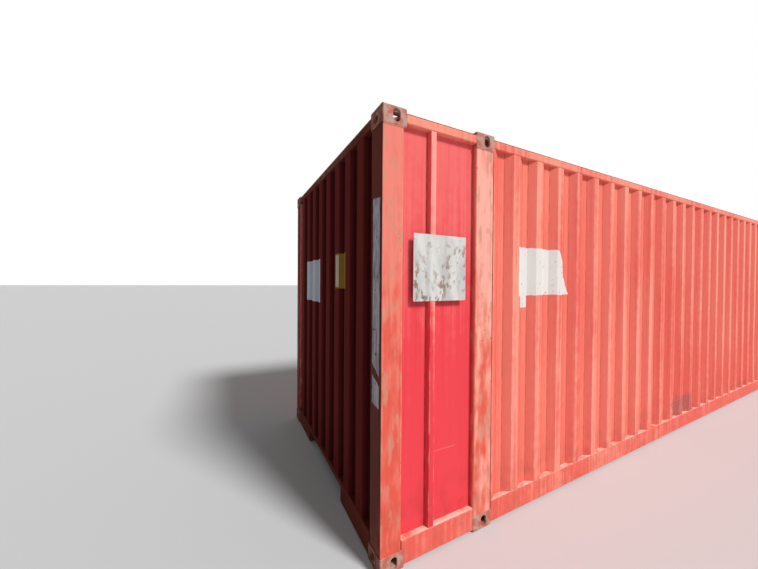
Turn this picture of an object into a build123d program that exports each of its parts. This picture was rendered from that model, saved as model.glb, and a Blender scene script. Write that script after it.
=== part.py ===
"""A 45-foot high-cube steel shipping container, built as its welded pieces.

Origin: centre of the base, on the plane of the bottom castings' soles.
+X runs from the blank front end to the door end, +Z is up, and the left side is at -Y.
Each piece is drawn at the front left corner, where x is the distance in from the end face
and y the distance in from the side face, and is then carried or mirrored to its place.
"""

from build123d import *
import math
import os

# Overall size
length = 13716.0
width = 2438.0
height = 2896.0
inner_frame_inset = 762.0

# Castings and their apertures
casting_length = 178.0
casting_width = 162.0
casting_height = 118.0
casting_plate = 28.0
casting_wall = 14.0
casting_back_wall = 7.0
lock_slot_length = 124.0
lock_slot_width = 63.5
lock_from_end = 103.5
lock_from_side = 89.5
lashing_hole_level = 54.0
lashing_hole_height = 79.5
lashing_hole_chamfer = 15.0
side_hole_width = 51.0
end_hole_width = 63.5

# Levels and setbacks
frame_setback = 3.0
base_clearance = 16.0
roof_step = 6.0

# Posts
post_plate = 6.0
post_side = 157.0
post_lip = 46.0
front_post_face = 150.0
rear_post_setback = 45.0
rear_post_face = 25.0
jamb_depth = 57.0
jamb_return = 48.0

# Rails
top_rail_size = 60.0
top_rail_wall = 3.0
bottom_rail_height = 162.0
bottom_rail_top_flange = 48.0
bottom_rail_low_flange = 30.0
bottom_rail_plate = 4.5
sill_flange = 68.0

# Side walls
wall_inner_face = 43.0
side_sheet = 1.6
side_depth = 36.0
side_slope = 68.0
side_recess = 70.0
side_ridge = 72.0
side_end_flat = 12.0

# Short panels between the corner posts and the inner posts
bay_rib_place = 209.0
bay_rib_width = 43.0
bay_rib_slope = 10.0

# Front wall
front_wall_setback = 5.0
front_sheet = 2.0
front_depth = 45.6
front_ridge = 110.0
front_slope = 18.0
front_pitch = 250.0

# Roof
roof_sheet = 2.0
roof_plate = 4.0
roof_rise = 20.0
roof_rib_width = 118.0
roof_rib_slope = 13.5
roof_pitch = 209.0
roof_edge_margin = 110.0

# Floor structure
floor_thickness = 28.0
cross_height = 122.0
cross_flange = 45.0
cross_plate = 4.0
cross_spacing = 330.0
tunnel_width = 1029.0
tunnel_length = 3500.0
tunnel_plate = 6.0

# Door end
header_drop = 22.5
door_beam_plate = 4.5
door_beam_return = 63.0
door_gap = 10.0
leaf_setback = 48.0
leaf_thickness = 50.0
leaf_stile = 100.0
leaf_rail = 150.0
leaf_tube_wall = 3.2
leaf_sheet = 2.0
leaf_depth = 36.0
leaf_recess = 72.0
leaf_slope = 36.0
leaf_ridge = 107.0
leaf_end_flat = 165.0
gasket_depth = 25.0

# Hinges
hinge_count = 4
hinge_end_distance = 260.0
hinge_from_end = 26.0
hinge_from_side = 25.0
knuckle_size = 32.0
knuckle_chamfer = 9.0
hinge_height = 90.0
hinge_clearance = 0.3
lug_thickness = 10.0
strap_reach = 135.0
strap_thickness = 10.0

# Locking gear
bar_radius = 17.0
bar_from_end = 26.0
bar_overrun = 46.0
bar_clearance = 0.3
cam_width = 64.0
cam_height = 30.0
cam_thickness = 26.0
keeper_jaw = 16.0
keeper_height = 60.0
keeper_clearance = 3.0
bracket_height = 50.0
bracket_flange = 28.0
bracket_plate = 4.0
low_bracket_level = 1060.0
high_bracket_level = 1840.0
outer_handle_level = 1210.0
inner_handle_level = 1370.0
handle_overrun = 35.0
handle_height = 34.0
handle_thickness = 8.0
fork_jaw = 6.0
fork_depth = 15.0
catch_width = 36.0
catch_lip = 8.0
catch_front = 5.0

# Worked-out levels
base_top = base_clearance + bottom_rail_height
roof_deck = height - roof_step - roof_rise - roof_sheet
top_rail_low = roof_deck - top_rail_size
cross_low = base_clearance + bottom_rail_plate
floor_low = cross_low + cross_height
floor_top = floor_low + floor_thickness
tunnel_roof = floor_low - tunnel_plate
beam_high = height - casting_height
leaf_low = casting_height + door_gap
leaf_high = beam_high - door_gap

# Worked-out places
inner_near = inner_frame_inset
inner_far = inner_near + casting_length
post_end = frame_setback + post_side
lip_end = frame_setback + post_lip
front_post_edge = frame_setback + front_post_face
side_outer_face = wall_inner_face - side_sheet - side_depth
rail_inner_face = frame_setback + bottom_rail_plate
floor_edge = frame_setback + bottom_rail_top_flange
front_wall_sunk = front_wall_setback + front_depth
tunnel_edge = (width - tunnel_width) / 2
jamb_edge = frame_setback + rear_post_face
jamb_face = rear_post_setback + jamb_depth
door_beam_back = jamb_face + door_beam_return
leaf_outer_edge = jamb_edge + door_gap
leaf_inner_edge = (width - door_gap) / 2
panel_start = leaf_outer_edge + leaf_stile
panel_end = leaf_inner_edge - leaf_stile

corner = Pos(-length / 2, -width / 2, 0)


def block(x_limits, y_limits, z_limits):
    """Rectangular solid between three pairs of limits."""
    sizes = [high - low for low, high in (x_limits, y_limits, z_limits)]
    middle = [(low + high) / 2 for low, high in (x_limits, y_limits, z_limits)]
    return Pos(*middle) * Box(*sizes)


def sheet_outline(line, thickness):
    """Section of a sheet pressed along a line of points, its thickness to the line's left."""
    points = [Vector(*point) for point in line]
    runs = [(end - start).normalized() for start, end in zip(points, points[1:])]
    sides = [Vector(-run.Y, run.X) for run in runs]
    back = [
        point + (before + after) * (thickness / (1 + before.dot(after)))
        for point, before, after in zip(points, sides[:1] + sides, sides + sides[-1:])
    ]
    return make_face(Polyline(*points, *reversed(back), close=True))


def square_tube(size, wall):
    """Section of a square tube."""
    bore = size - 2 * wall
    return Rectangle(size, size) - Rectangle(bore, bore)


def along_x(section, start, end):
    """Section drawn in (y, z), run along X."""
    return extrude(Plane.YZ.offset(start) * section, end - start, dir=(1, 0, 0))


def along_y(section, start, end):
    """Section drawn in (x, z), run along Y."""
    return extrude(Plane.XZ.offset(-start) * section, end - start, dir=(0, 1, 0))


def along_z(section, start, end):
    """Section drawn in (x, y), run along Z."""
    return extrude(Plane.XY.offset(start) * section, end - start, dir=(0, 0, 1))


def to_right(piece):
    """The same piece on the right-hand side."""
    return mirror(piece, Plane.XZ)


def to_rear(piece):
    """The same piece at the door end."""
    return mirror(piece, Plane.YZ)


def to_top(piece):
    """A bottom piece turned over to the same place at the roof."""
    return mirror(piece, Plane.XY.offset(height / 2))


def all_four(piece):
    """A piece at the front left corner, and its three mirror images."""
    pair = [piece, to_right(piece)]
    return pair + [to_rear(one) for one in pair]


def clear_of_castings(piece):
    """A piece of the front half in its place, cut back round the corner castings that it meets."""
    room = block((0, casting_length), (0, casting_width), (0, casting_height))
    rooms = corner * (room + to_top(room))
    return corner * piece - rooms - to_right(rooms)


def save(node, *pieces):
    """Write one named piece, or a set of like pieces, as a STEP file."""
    solids = [solid for piece in pieces for solid in piece.solids()]
    export_step(Compound(solids), f"parts/{node}.step")


def lashing_hole(hole_width):
    """Upright hole with cut corners, for a lashing hook."""
    return chamfer(Rectangle(hole_width, lashing_hole_height).vertices(), lashing_hole_chamfer)


def casting(near, at_corner):
    """Hollow bottom casting on the left side, with its lock slot and lashing holes."""
    far = near + casting_length
    lock_place = near + lock_from_end
    cavity = block(
        (near + casting_wall, far - casting_back_wall),
        (casting_wall, casting_width - casting_wall),
        (casting_plate, casting_height - casting_wall),
    )
    slot = Pos(lock_place, lock_from_side) * SlotOverall(lock_slot_length, lock_slot_width)
    side_hole = Pos(lock_place, lashing_hole_level) * lashing_hole(side_hole_width)
    body = block((near, far), (0, casting_width), (0, casting_height)) - cavity
    body -= along_z(slot, 0, casting_plate)
    body -= along_y(side_hole, 0, casting_wall)
    if at_corner:
        end_hole = Pos(lock_from_side, lashing_hole_level) * lashing_hole(end_hole_width)
        body -= along_x(end_hole, near, near + casting_wall)
    return corner * body


def castings():
    """The eight castings of the outer frame and the eight of the inner frame."""
    outer = all_four(casting(0, at_corner=True))
    inner = all_four(casting(inner_near, at_corner=False))
    save("bottom_corner_castings", *outer)
    save("top_corner_castings", *[to_top(one) for one in outer])
    save("bottom_inner_castings", *inner)
    save("top_inner_castings", *[to_top(one) for one in inner])


def post(line):
    """Pressed post of one folded plate, standing between the castings."""
    return corner * along_z(sheet_outline(line, post_plate), casting_height, beam_high)


def posts():
    """Front corner posts, inner posts over the inner castings, and the jamb-shaped rear posts."""
    front = post(
        [
            (lip_end, front_post_edge),
            (frame_setback, front_post_edge),
            (frame_setback, frame_setback),
            (post_end, frame_setback),
            (post_end, lip_end),
        ]
    )
    inner = post(
        [
            (inner_near, lip_end),
            (inner_near, frame_setback),
            (inner_far, frame_setback),
            (inner_far, lip_end),
        ]
    )
    rear = to_rear(
        post(
            [
                (jamb_face + jamb_return, lip_end),
                (jamb_face, lip_end),
                (jamb_face, jamb_edge),
                (rear_post_setback, jamb_edge),
                (rear_post_setback, frame_setback),
                (post_end, frame_setback),
                (post_end, lip_end),
            ]
        )
    )
    save("front_post_left", front)
    save("front_post_right", to_right(front))
    save("rear_post_left", rear)
    save("rear_post_right", to_right(rear))
    save("inner_post_front_left", inner)
    save("inner_post_front_right", to_right(inner))
    save("inner_post_rear_left", to_rear(inner))
    save("inner_post_rear_right", to_right(to_rear(inner)))


def rail_lengths(section):
    """Three lengths of the left side rail, between the castings."""
    short = corner * along_x(section, casting_length, inner_near)
    middle = corner * along_x(section, inner_far, length - inner_far)
    return [short, middle, to_rear(short)]


def side_rails():
    """Square top tubes, and folded bottom channels bridged over the castings to the corner posts."""
    tube_middle = (frame_setback + top_rail_size / 2, roof_deck - top_rail_size / 2)
    top = rail_lengths(Pos(*tube_middle) * square_tube(top_rail_size, top_rail_wall))
    channel_line = [
        (floor_edge, base_top),
        (frame_setback, base_top),
        (frame_setback, base_clearance),
        (frame_setback + bottom_rail_low_flange, base_clearance),
    ]
    channel = sheet_outline(channel_line, bottom_rail_plate)
    bridge = clear_of_castings(along_x(channel, post_end, casting_length))
    bottom = rail_lengths(channel) + [bridge, to_rear(bridge)]
    save("top_side_rail_left", *top)
    save("top_side_rail_right", *[to_right(one) for one in top])
    save("bottom_side_rail_left", *bottom)
    save("bottom_side_rail_right", *[to_right(one) for one in bottom])


def wave_starts(start, end, end_flat, recess, slope, ridge):
    """Where each wave of a corrugated sheet starts, its pitch fitted to a whole number of waves."""
    wave = recess + 2 * slope
    run = end - start - 2 * end_flat
    count = max(1, round((run + ridge) / (wave + ridge)))
    step = (run - wave) / (count - 1) if count > 1 else 0
    return [start + end_flat + index * step for index in range(count)]


def corrugated(start, end, waves, recess, slope, outer, depth):
    """Line of a corrugated sheet that starts and ends on an outer flat and sinks at each wave."""
    line = [(start, outer)]
    for place in waves:
        line += [
            (place, outer),
            (place + slope, outer + depth),
            (place + slope + recess, outer + depth),
            (place + 2 * slope + recess, outer),
        ]
    return line + [(end, outer)]


def side_walls():
    """Trapezoid-corrugated side walls between the inner posts, and the ribbed panels beside them."""
    run = (inner_far, length - inner_far)
    waves = wave_starts(*run, side_end_flat, side_recess, side_slope, side_ridge)
    main_line = corrugated(*run, waves, side_recess, side_slope, side_outer_face, side_depth)
    main = corner * along_z(sheet_outline(main_line, side_sheet), base_top, top_rail_low)
    sunk = side_outer_face + side_depth
    rib_start = post_end + bay_rib_place
    rib_end = rib_start + bay_rib_width
    bay_line = [
        (post_end, sunk),
        (rib_start - bay_rib_slope, sunk),
        (rib_start, side_outer_face),
        (rib_end, side_outer_face),
        (rib_end + bay_rib_slope, sunk),
        (inner_near, sunk),
    ]
    bay = clear_of_castings(along_z(sheet_outline(bay_line, side_sheet), base_top, top_rail_low))
    save("side_wall_left", main)
    save("side_wall_right", to_right(main))
    save("bay_panel_front_left", bay)
    save("bay_panel_front_right", to_right(bay))
    save("bay_panel_rear_left", to_rear(bay))
    save("bay_panel_rear_right", to_right(to_rear(bay)))


def front_end():
    """Blank front wall with upright ridges, its header and its sill with the tunnel mouth."""
    run = (front_post_edge, width - front_post_edge)
    half = front_ridge / 2
    room = run[1] - run[0] - front_ridge - 2 * front_slope
    count = int(room // front_pitch) + 1
    line = [(front_wall_sunk, run[1])]
    for index in reversed(range(count)):
        middle = width / 2 + (index - (count - 1) / 2) * front_pitch
        line += [
            (front_wall_sunk, middle + half + front_slope),
            (front_wall_setback, middle + half),
            (front_wall_setback, middle - half),
            (front_wall_sunk, middle - half - front_slope),
        ]
    line.append((front_wall_sunk, run[0]))
    wall = along_z(sheet_outline(line, front_sheet), base_top, top_rail_low)
    save("front_wall", clear_of_castings(wall))

    tube_middle = (frame_setback + top_rail_size / 2, roof_deck - top_rail_size / 2)
    tube = along_y(Pos(*tube_middle) * square_tube(top_rail_size, top_rail_wall), *run)
    plate = block((frame_setback, casting_length), run, (roof_deck, roof_deck + roof_plate))
    save("front_header", clear_of_castings(tube + plate))

    channel_line = [
        (frame_setback + sill_flange, base_clearance),
        (frame_setback, base_clearance),
        (frame_setback, base_top),
        (frame_setback + sill_flange, base_top),
    ]
    channel = along_y(sheet_outline(channel_line, -bottom_rail_plate), *run)
    mouth = block((0, casting_length), (tunnel_edge, width - tunnel_edge), (0, tunnel_roof))
    save("front_sill", clear_of_castings(channel - mouth))


def roof_rib(rib_length, low):
    """Solid form of one pressed roof rib, standing on a level."""
    slope_angle = math.degrees(math.atan2(roof_rib_slope, roof_rise))
    return Pos(0, 0, low) * extrude(Rectangle(roof_rib_width, rib_length), roof_rise, taper=slope_angle)


def roof_bay(start, end):
    """One roof sheet with its pressed ribs, lying on the side rails."""
    sides = (frame_setback, width - frame_setback)
    rib_length = sides[1] - sides[0] - 2 * roof_edge_margin
    sheet = block((start, end), sides, (roof_deck, roof_deck + roof_sheet))
    count = int((end - start - roof_rib_width) // roof_pitch) + 1
    margin = (end - start - (count - 1) * roof_pitch) / 2
    places = [Pos(start + margin + index * roof_pitch, width / 2) for index in range(count)]
    crowns = [place * roof_rib(rib_length, roof_deck + roof_sheet) for place in places]
    hollows = [place * roof_rib(rib_length, roof_deck) for place in places]
    return corner * (sheet + crowns - hollows)


def roof():
    """Pressed roof sheets between the castings, and the flat plates across the inner frames."""
    short = roof_bay(casting_length, inner_near)
    save("roof_sheets", short, roof_bay(inner_far, length - inner_far), to_rear(short))
    plate = corner * block(
        (inner_near, inner_far),
        (casting_width, width - casting_width),
        (roof_deck, roof_deck + roof_plate),
    )
    save("roof_cross_plates", plate, to_rear(plate))


def cross_members():
    """Channels under the floor, their ends against the webs of the bottom side rails."""
    line = [
        (cross_flange, cross_low),
        (0, cross_low),
        (0, floor_low),
        (cross_flange, floor_low),
    ]
    member = along_y(sheet_outline(line, -cross_plate), rail_inner_face, width - rail_inner_face)
    tunnel_sides = (tunnel_edge - tunnel_plate, width - tunnel_edge + tunnel_plate)
    tunnel_room = block((0, tunnel_length), tunnel_sides, (0, floor_low))
    members = []
    for start, end in (
        (casting_length, inner_near),
        (inner_far, length - inner_far),
        (length - inner_near, length - casting_length),
    ):
        count = max(1, math.ceil((end - start) / cross_spacing) - 1)
        step = (end - start) / (count + 1)
        for index in range(count):
            place = start + step * (index + 1)
            members.append(corner * (Pos(place, 0, 0) * member - tunnel_room))
    save("cross_members", *members)


def underframe():
    """Floor, inner frame bolsters and the gooseneck tunnel."""
    floor = block(
        (front_wall_sunk + front_sheet, length - door_beam_back),
        (floor_edge, width - floor_edge),
        (floor_low, floor_top),
    )
    post_corner = block((0, post_end), (0, front_post_edge), (floor_low, floor_top))
    save("floor", corner * floor - corner * post_corner - to_right(corner * post_corner))

    sides = (casting_width, width - casting_width)
    bolster = block((inner_near, inner_far), sides, (cross_low, floor_low))
    bolster -= block(
        (inner_near + tunnel_plate, inner_far - tunnel_plate),
        sides,
        (cross_low + tunnel_plate, tunnel_roof),
    )
    tunnel_sides = (tunnel_edge - tunnel_plate, width - tunnel_edge + tunnel_plate)
    tunnel_room = block((inner_near, inner_far), tunnel_sides, (0, floor_low))
    save("inner_frame_bolsters", corner * (bolster - tunnel_room), to_rear(corner * bolster))

    tunnel_line = [
        (width - tunnel_edge, cross_low),
        (width - tunnel_edge, tunnel_roof),
        (tunnel_edge, tunnel_roof),
        (tunnel_edge, cross_low),
    ]
    tunnel = along_x(sheet_outline(tunnel_line, -tunnel_plate), rail_inner_face, tunnel_length)
    tunnel_stop = block(
        (tunnel_length - tunnel_plate, tunnel_length),
        (tunnel_edge, width - tunnel_edge),
        (cross_low, tunnel_roof),
    )
    save("gooseneck_tunnel", corner * (tunnel + tunnel_stop))


def door_beams():
    """Header and sill of the doorway, each folded with a step that the leaves close on."""
    run = (lip_end, width - lip_end)
    opening_high = beam_high - header_drop
    header_line = [
        (door_beam_back, opening_high),
        (jamb_face, opening_high),
        (jamb_face, beam_high),
        (leaf_setback, beam_high),
        (leaf_setback, roof_deck + roof_plate),
        (casting_length, roof_deck + roof_plate),
    ]
    sill_line = [
        (door_beam_back, base_clearance),
        (leaf_setback, base_clearance),
        (leaf_setback, casting_height),
        (jamb_face, casting_height),
        (jamb_face, floor_top),
        (door_beam_back, floor_top),
    ]
    header = along_y(sheet_outline(header_line, -door_beam_plate), *run)
    sill = along_y(sheet_outline(sill_line, -door_beam_plate), *run)
    save("door_header", to_rear(clear_of_castings(header)))
    save("door_sill", to_rear(clear_of_castings(sill)))


def leaf_waves():
    """Where the waves of a leaf's panel start."""
    return wave_starts(panel_start, panel_end, leaf_end_flat, leaf_recess, leaf_slope, leaf_ridge)


def door_leaf():
    """Frame and corrugated panel of the left leaf, drawn as if at the front left corner."""
    depth = (leaf_setback, leaf_setback + leaf_thickness)
    stiles = []
    for low, high in ((leaf_outer_edge, panel_start), (panel_end, leaf_inner_edge)):
        bore = block(
            (depth[0] + leaf_tube_wall, depth[1] - leaf_tube_wall),
            (low + leaf_tube_wall, high - leaf_tube_wall),
            (leaf_low, leaf_high),
        )
        stiles.append(block(depth, (low, high), (leaf_low, leaf_high)) - bore)
    rails = []
    for low, high in ((leaf_low, leaf_low + leaf_rail), (leaf_high - leaf_rail, leaf_high)):
        rail_line = [(depth[1], low), (depth[0], low), (depth[0], high), (depth[1], high)]
        rails.append(along_y(sheet_outline(rail_line, -leaf_tube_wall), panel_start, panel_end))
    frame = stiles[0] + stiles[1] + rails
    line = corrugated(
        panel_start, panel_end, leaf_waves(), leaf_recess, leaf_slope, leaf_setback, leaf_depth
    )
    section = sheet_outline([(outward, across) for across, outward in line[::-1]], leaf_sheet)
    panel = along_z(section, leaf_low + leaf_rail, leaf_high - leaf_rail)
    return frame, panel


def gasket():
    """Rubber seal round the left leaf, against the jamb, the beams and the other leaf."""
    depth = (leaf_setback + leaf_thickness - gasket_depth, leaf_setback + leaf_thickness)
    outside = block(depth, (jamb_edge, width / 2), (casting_height, beam_high))
    leaf = block(depth, (leaf_outer_edge, leaf_inner_edge), (leaf_low, leaf_high))
    return outside - leaf


def hinges():
    """Lugs on the rear post, and the straps whose knuckles turn between them."""
    first = leaf_low + hinge_end_distance
    last = leaf_high - hinge_end_distance
    levels = [first + (last - first) * index / (hinge_count - 1) for index in range(hinge_count)]
    knuckle = chamfer(Rectangle(knuckle_size, knuckle_size).vertices(), knuckle_chamfer)
    pin_place = Pos(hinge_from_end, hinge_from_side)
    strap_face = leaf_setback - strap_thickness
    strap_end = hinge_from_side + strap_reach
    blade_line = [
        (hinge_from_end, hinge_from_side + knuckle_size / 2),
        (strap_face, leaf_outer_edge + knuckle_size / 2),
        (strap_face, strap_end),
        (leaf_setback, strap_end),
        (leaf_setback, leaf_outer_edge + hinge_clearance),
        (hinge_from_end + knuckle_size / 2, hinge_from_side),
        (hinge_from_end, hinge_from_side),
    ]
    strap_section = make_face(Polyline(*blade_line, close=True)) + pin_place * knuckle
    lug_root = Rectangle(
        rear_post_setback - hinge_from_end, knuckle_size, align=(Align.MIN, Align.CENTER)
    )
    lug_section = pin_place * (lug_root + knuckle)
    half = hinge_height / 2
    lug_near = half + hinge_clearance
    lug_far = lug_near + lug_thickness
    straps, lugs = [], []
    for level in levels:
        straps.append(along_z(strap_section, level - half, level + half))
        lugs.append(along_z(lug_section, level - lug_far, level - lug_near))
        lugs.append(along_z(lug_section, level + lug_near, level + lug_far))
    return straps, lugs


def cam_depth():
    """Front and back of the cams and their keepers' jaws."""
    return bar_from_end - cam_thickness / 2, bar_from_end + cam_thickness / 2


def locking_bar(across, low, high):
    """Round locking bar with a flat cam at each end."""
    bar = along_z(Pos(bar_from_end, across) * Circle(bar_radius), low + cam_height, high - cam_height)
    sides = (across - cam_width / 2, across + cam_width / 2)
    for level in (low, high - cam_height):
        bar += block(cam_depth(), sides, (level, level + cam_height))
    return bar


def cam_keepers(across, middle):
    """The two jaws welded to a door beam, one each side of a cam."""
    levels = (middle - keeper_height / 2, middle + keeper_height / 2)
    near = cam_width / 2 + keeper_clearance
    far = near + keeper_jaw
    spans = ((across - far, across - near), (across + near, across + far))
    return [block((cam_depth()[0], leaf_setback), span, levels) for span in spans]


def bar_bracket(across, level):
    """Bracket pressed from strip, which passes round a locking bar and lies on the leaf."""
    reach = bar_radius + bar_clearance
    line = [
        (leaf_setback, across - reach - bracket_flange),
        (leaf_setback, across - reach),
        (bar_from_end - reach, across - reach),
        (bar_from_end - reach, across + reach),
        (leaf_setback, across + reach),
        (leaf_setback, across + reach + bracket_flange),
    ]
    return along_z(sheet_outline(line, bracket_plate), level, level + bracket_height)


def door_handle(across, side, reach, middle):
    """Flat handle forked over its bar, pointing to one side, and the catch that holds its end."""
    back = bar_from_end - bar_radius - bar_clearance
    front = back - handle_thickness
    levels = (middle - handle_height / 2, middle + handle_height / 2)
    fork = bar_radius + bar_clearance + fork_jaw
    ends = sorted((across - side * fork, across + side * (reach + handle_overrun)))
    handle = block((front, back), ends, levels)
    for jaw in (-1, 1):
        jaw_sides = sorted((across + jaw * (fork - fork_jaw), across + jaw * fork))
        handle += block((back, back + fork_depth), jaw_sides, levels)
    catch_middle = across + side * reach
    catch_sides = (catch_middle - catch_width / 2, catch_middle + catch_width / 2)
    slot_half = handle_height / 2 + bar_clearance
    slot = block(
        (catch_front, back + bar_clearance), catch_sides, (middle - slot_half, middle + slot_half)
    )
    catch_half = slot_half + catch_lip
    catch = block((catch_front, leaf_setback), catch_sides, (middle - catch_half, middle + catch_half))
    return handle, catch - slot


def locking_gear():
    """Locking bars, keepers, brackets, handles and catches of the left leaf."""
    bars, keepers, brackets, handles, catches = [], [], [], [], []
    low = casting_height - bar_overrun
    high = beam_high + bar_overrun
    outer_bar = panel_start + leaf_end_flat / 2
    inner_bar = panel_end - leaf_end_flat / 2
    waves = leaf_waves()
    last_ridge = (waves[-2] + 2 * leaf_slope + leaf_recess + waves[-1]) / 2
    reach = last_ridge - outer_bar
    bracket_levels = (
        leaf_low + (leaf_rail - bracket_height) / 2,
        low_bracket_level,
        high_bracket_level,
        leaf_high - (leaf_rail + bracket_height) / 2,
    )
    for across, side, handle_level in (
        (outer_bar, 1, outer_handle_level),
        (inner_bar, -1, inner_handle_level),
    ):
        bars.append(locking_bar(across, low, high))
        keepers += cam_keepers(across, low + cam_height / 2)
        keepers += cam_keepers(across, high - cam_height / 2)
        brackets += [bar_bracket(across, level) for level in bracket_levels]
        handle, catch = door_handle(across, side, reach, handle_level)
        handles.append(handle)
        catches.append(catch)
    return bars, keepers, brackets, handles, catches


def both_leaves(pieces):
    """Pieces of the left leaf carried to the door end, with their mirror images."""
    left = [to_rear(corner * piece) for piece in pieces]
    return left + [to_right(one) for one in left]


def doors():
    """Both closed leaves with their gaskets, hinges and locking gear."""
    frame, panel = door_leaf()
    for part_name, piece in (("frame", frame), ("panel", panel)):
        left, right = both_leaves([piece])
        save(f"door_{part_name}_left", left)
        save(f"door_{part_name}_right", right)
    save("door_gaskets", *both_leaves([gasket()]))
    straps, lugs = hinges()
    save("hinge_straps", *both_leaves(straps))
    save("hinge_lugs", *both_leaves(lugs))
    bars, keepers, brackets, handles, catches = locking_gear()
    save("locking_bars", *both_leaves(bars))
    save("cam_keepers", *both_leaves(keepers))
    save("bar_brackets", *both_leaves(brackets))
    save("door_handles", *both_leaves(handles))
    save("handle_catches", *both_leaves(catches))


os.makedirs("parts", exist_ok=True)
castings()
posts()
side_rails()
side_walls()
front_end()
roof()
cross_members()
underframe()
door_beams()
doors()
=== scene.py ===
"""Looks of the high-cube container: its pressed sheets, castings and door gear, with weathered finishes.

Sizes are in millimetres, as in the part's source. Corner.at turns places into metres, and so do the
patterns and masks of Surface.
"""

import logging
import math
from collections.abc import Callable, Iterable, Sequence
from dataclasses import dataclass
from enum import Enum
from typing import ClassVar

import bmesh
import bpy
from mathutils import Matrix, Vector, noise


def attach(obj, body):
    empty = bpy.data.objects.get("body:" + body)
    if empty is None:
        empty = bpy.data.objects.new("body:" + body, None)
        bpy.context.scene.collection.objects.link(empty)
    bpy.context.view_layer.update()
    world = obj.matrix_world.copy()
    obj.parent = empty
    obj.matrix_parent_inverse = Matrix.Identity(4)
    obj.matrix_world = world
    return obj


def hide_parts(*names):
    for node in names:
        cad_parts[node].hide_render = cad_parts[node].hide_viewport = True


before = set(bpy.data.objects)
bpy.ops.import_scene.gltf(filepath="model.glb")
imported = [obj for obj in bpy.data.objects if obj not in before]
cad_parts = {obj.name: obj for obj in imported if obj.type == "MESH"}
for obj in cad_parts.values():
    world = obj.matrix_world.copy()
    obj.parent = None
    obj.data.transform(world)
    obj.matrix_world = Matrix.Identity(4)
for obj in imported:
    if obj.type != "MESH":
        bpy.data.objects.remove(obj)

Flat = tuple[float, float]
Spot = tuple[float, float, float]
Material = bpy.types.Material
Socket = bpy.types.NodeSocket
Vertex = bmesh.types.BMVert

MM = 0.001
LENGTH, WIDTH, HEIGHT = 13716.0, 2438.0, 2896.0
CASTING = (178.0, 162.0, 118.0)
POST_LOW, POST_HIGH = CASTING[2], HEIGHT - CASTING[2]
BASE_TOP, RAIL_LOW, ROOF_DECK = 178.0, 2808.0, 2868.0
INNER_POST = (762.0, 940.0)
BAYS = (
    (CASTING[0], INNER_POST[0]),
    (INNER_POST[1], LENGTH - INNER_POST[1]),
    (LENGTH - INNER_POST[0], LENGTH - CASTING[0]),
)
LAYERS = ("bend", "depth", "lean")


class Corner(Enum):
    """The four corners that distances are counted in from, as the signs of X and Y."""

    FRONT_LEFT = (-1, -1)
    FRONT_RIGHT = (-1, 1)
    REAR_LEFT = (1, -1)
    REAR_RIGHT = (1, 1)

    def at(self, inward: float, across: float, up: float) -> Vector:
        """Place in metres of a point.

        Args:
            inward: Distance in from the end face.
            across: Distance in from the side face.
            up: Height over the base.

        Returns:
            The point in the row frame.
        """
        end, side = self.value
        return Vector((end * (LENGTH / 2 - inward), side * (WIDTH / 2 - across), up)) * MM


SIDES = ((Corner.FRONT_LEFT, Corner.REAR_LEFT, "left"), (Corner.FRONT_RIGHT, Corner.REAR_RIGHT, "right"))


class Run(Enum):
    """Which way a drawn section is run."""

    UP = "drawn from above, run up"
    ALONG = "drawn from the end, run inward"
    OVER = "drawn from the side, run across"

    def at(self, corner: Corner, a: float, b: float, level: float) -> Vector:
        """Place in metres of a point of a section.

        Args:
            corner: Corner that its sizes are counted from.
            a: The point's first size in the section.
            b: Its second size.
            level: Level of the run.

        Returns:
            The point in the row frame.
        """
        if self is Run.UP:
            return corner.at(a, b, level)
        if self is Run.ALONG:
            return corner.at(level, a, b)
        return corner.at(a, level, b)


@dataclass(frozen=True)
class Station:
    """One point of a bent line, with its heading, and 1, 0 or -1 for a convex bend, a flat or a hollow."""

    a: float
    b: float
    heading: float
    bend: float

    def aside(self, distance: float) -> Flat:
        """Point this far to the line's left."""
        return (self.a - math.sin(self.heading) * distance, self.b + math.cos(self.heading) * distance)


def levels(low: float, high: float, longest: float) -> list[float]:
    """Evenly spaced levels from low to high."""
    parts = max(1, math.ceil((high - low) / longest))
    return [low + (high - low) * part / parts for part in range(parts + 1)]


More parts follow.
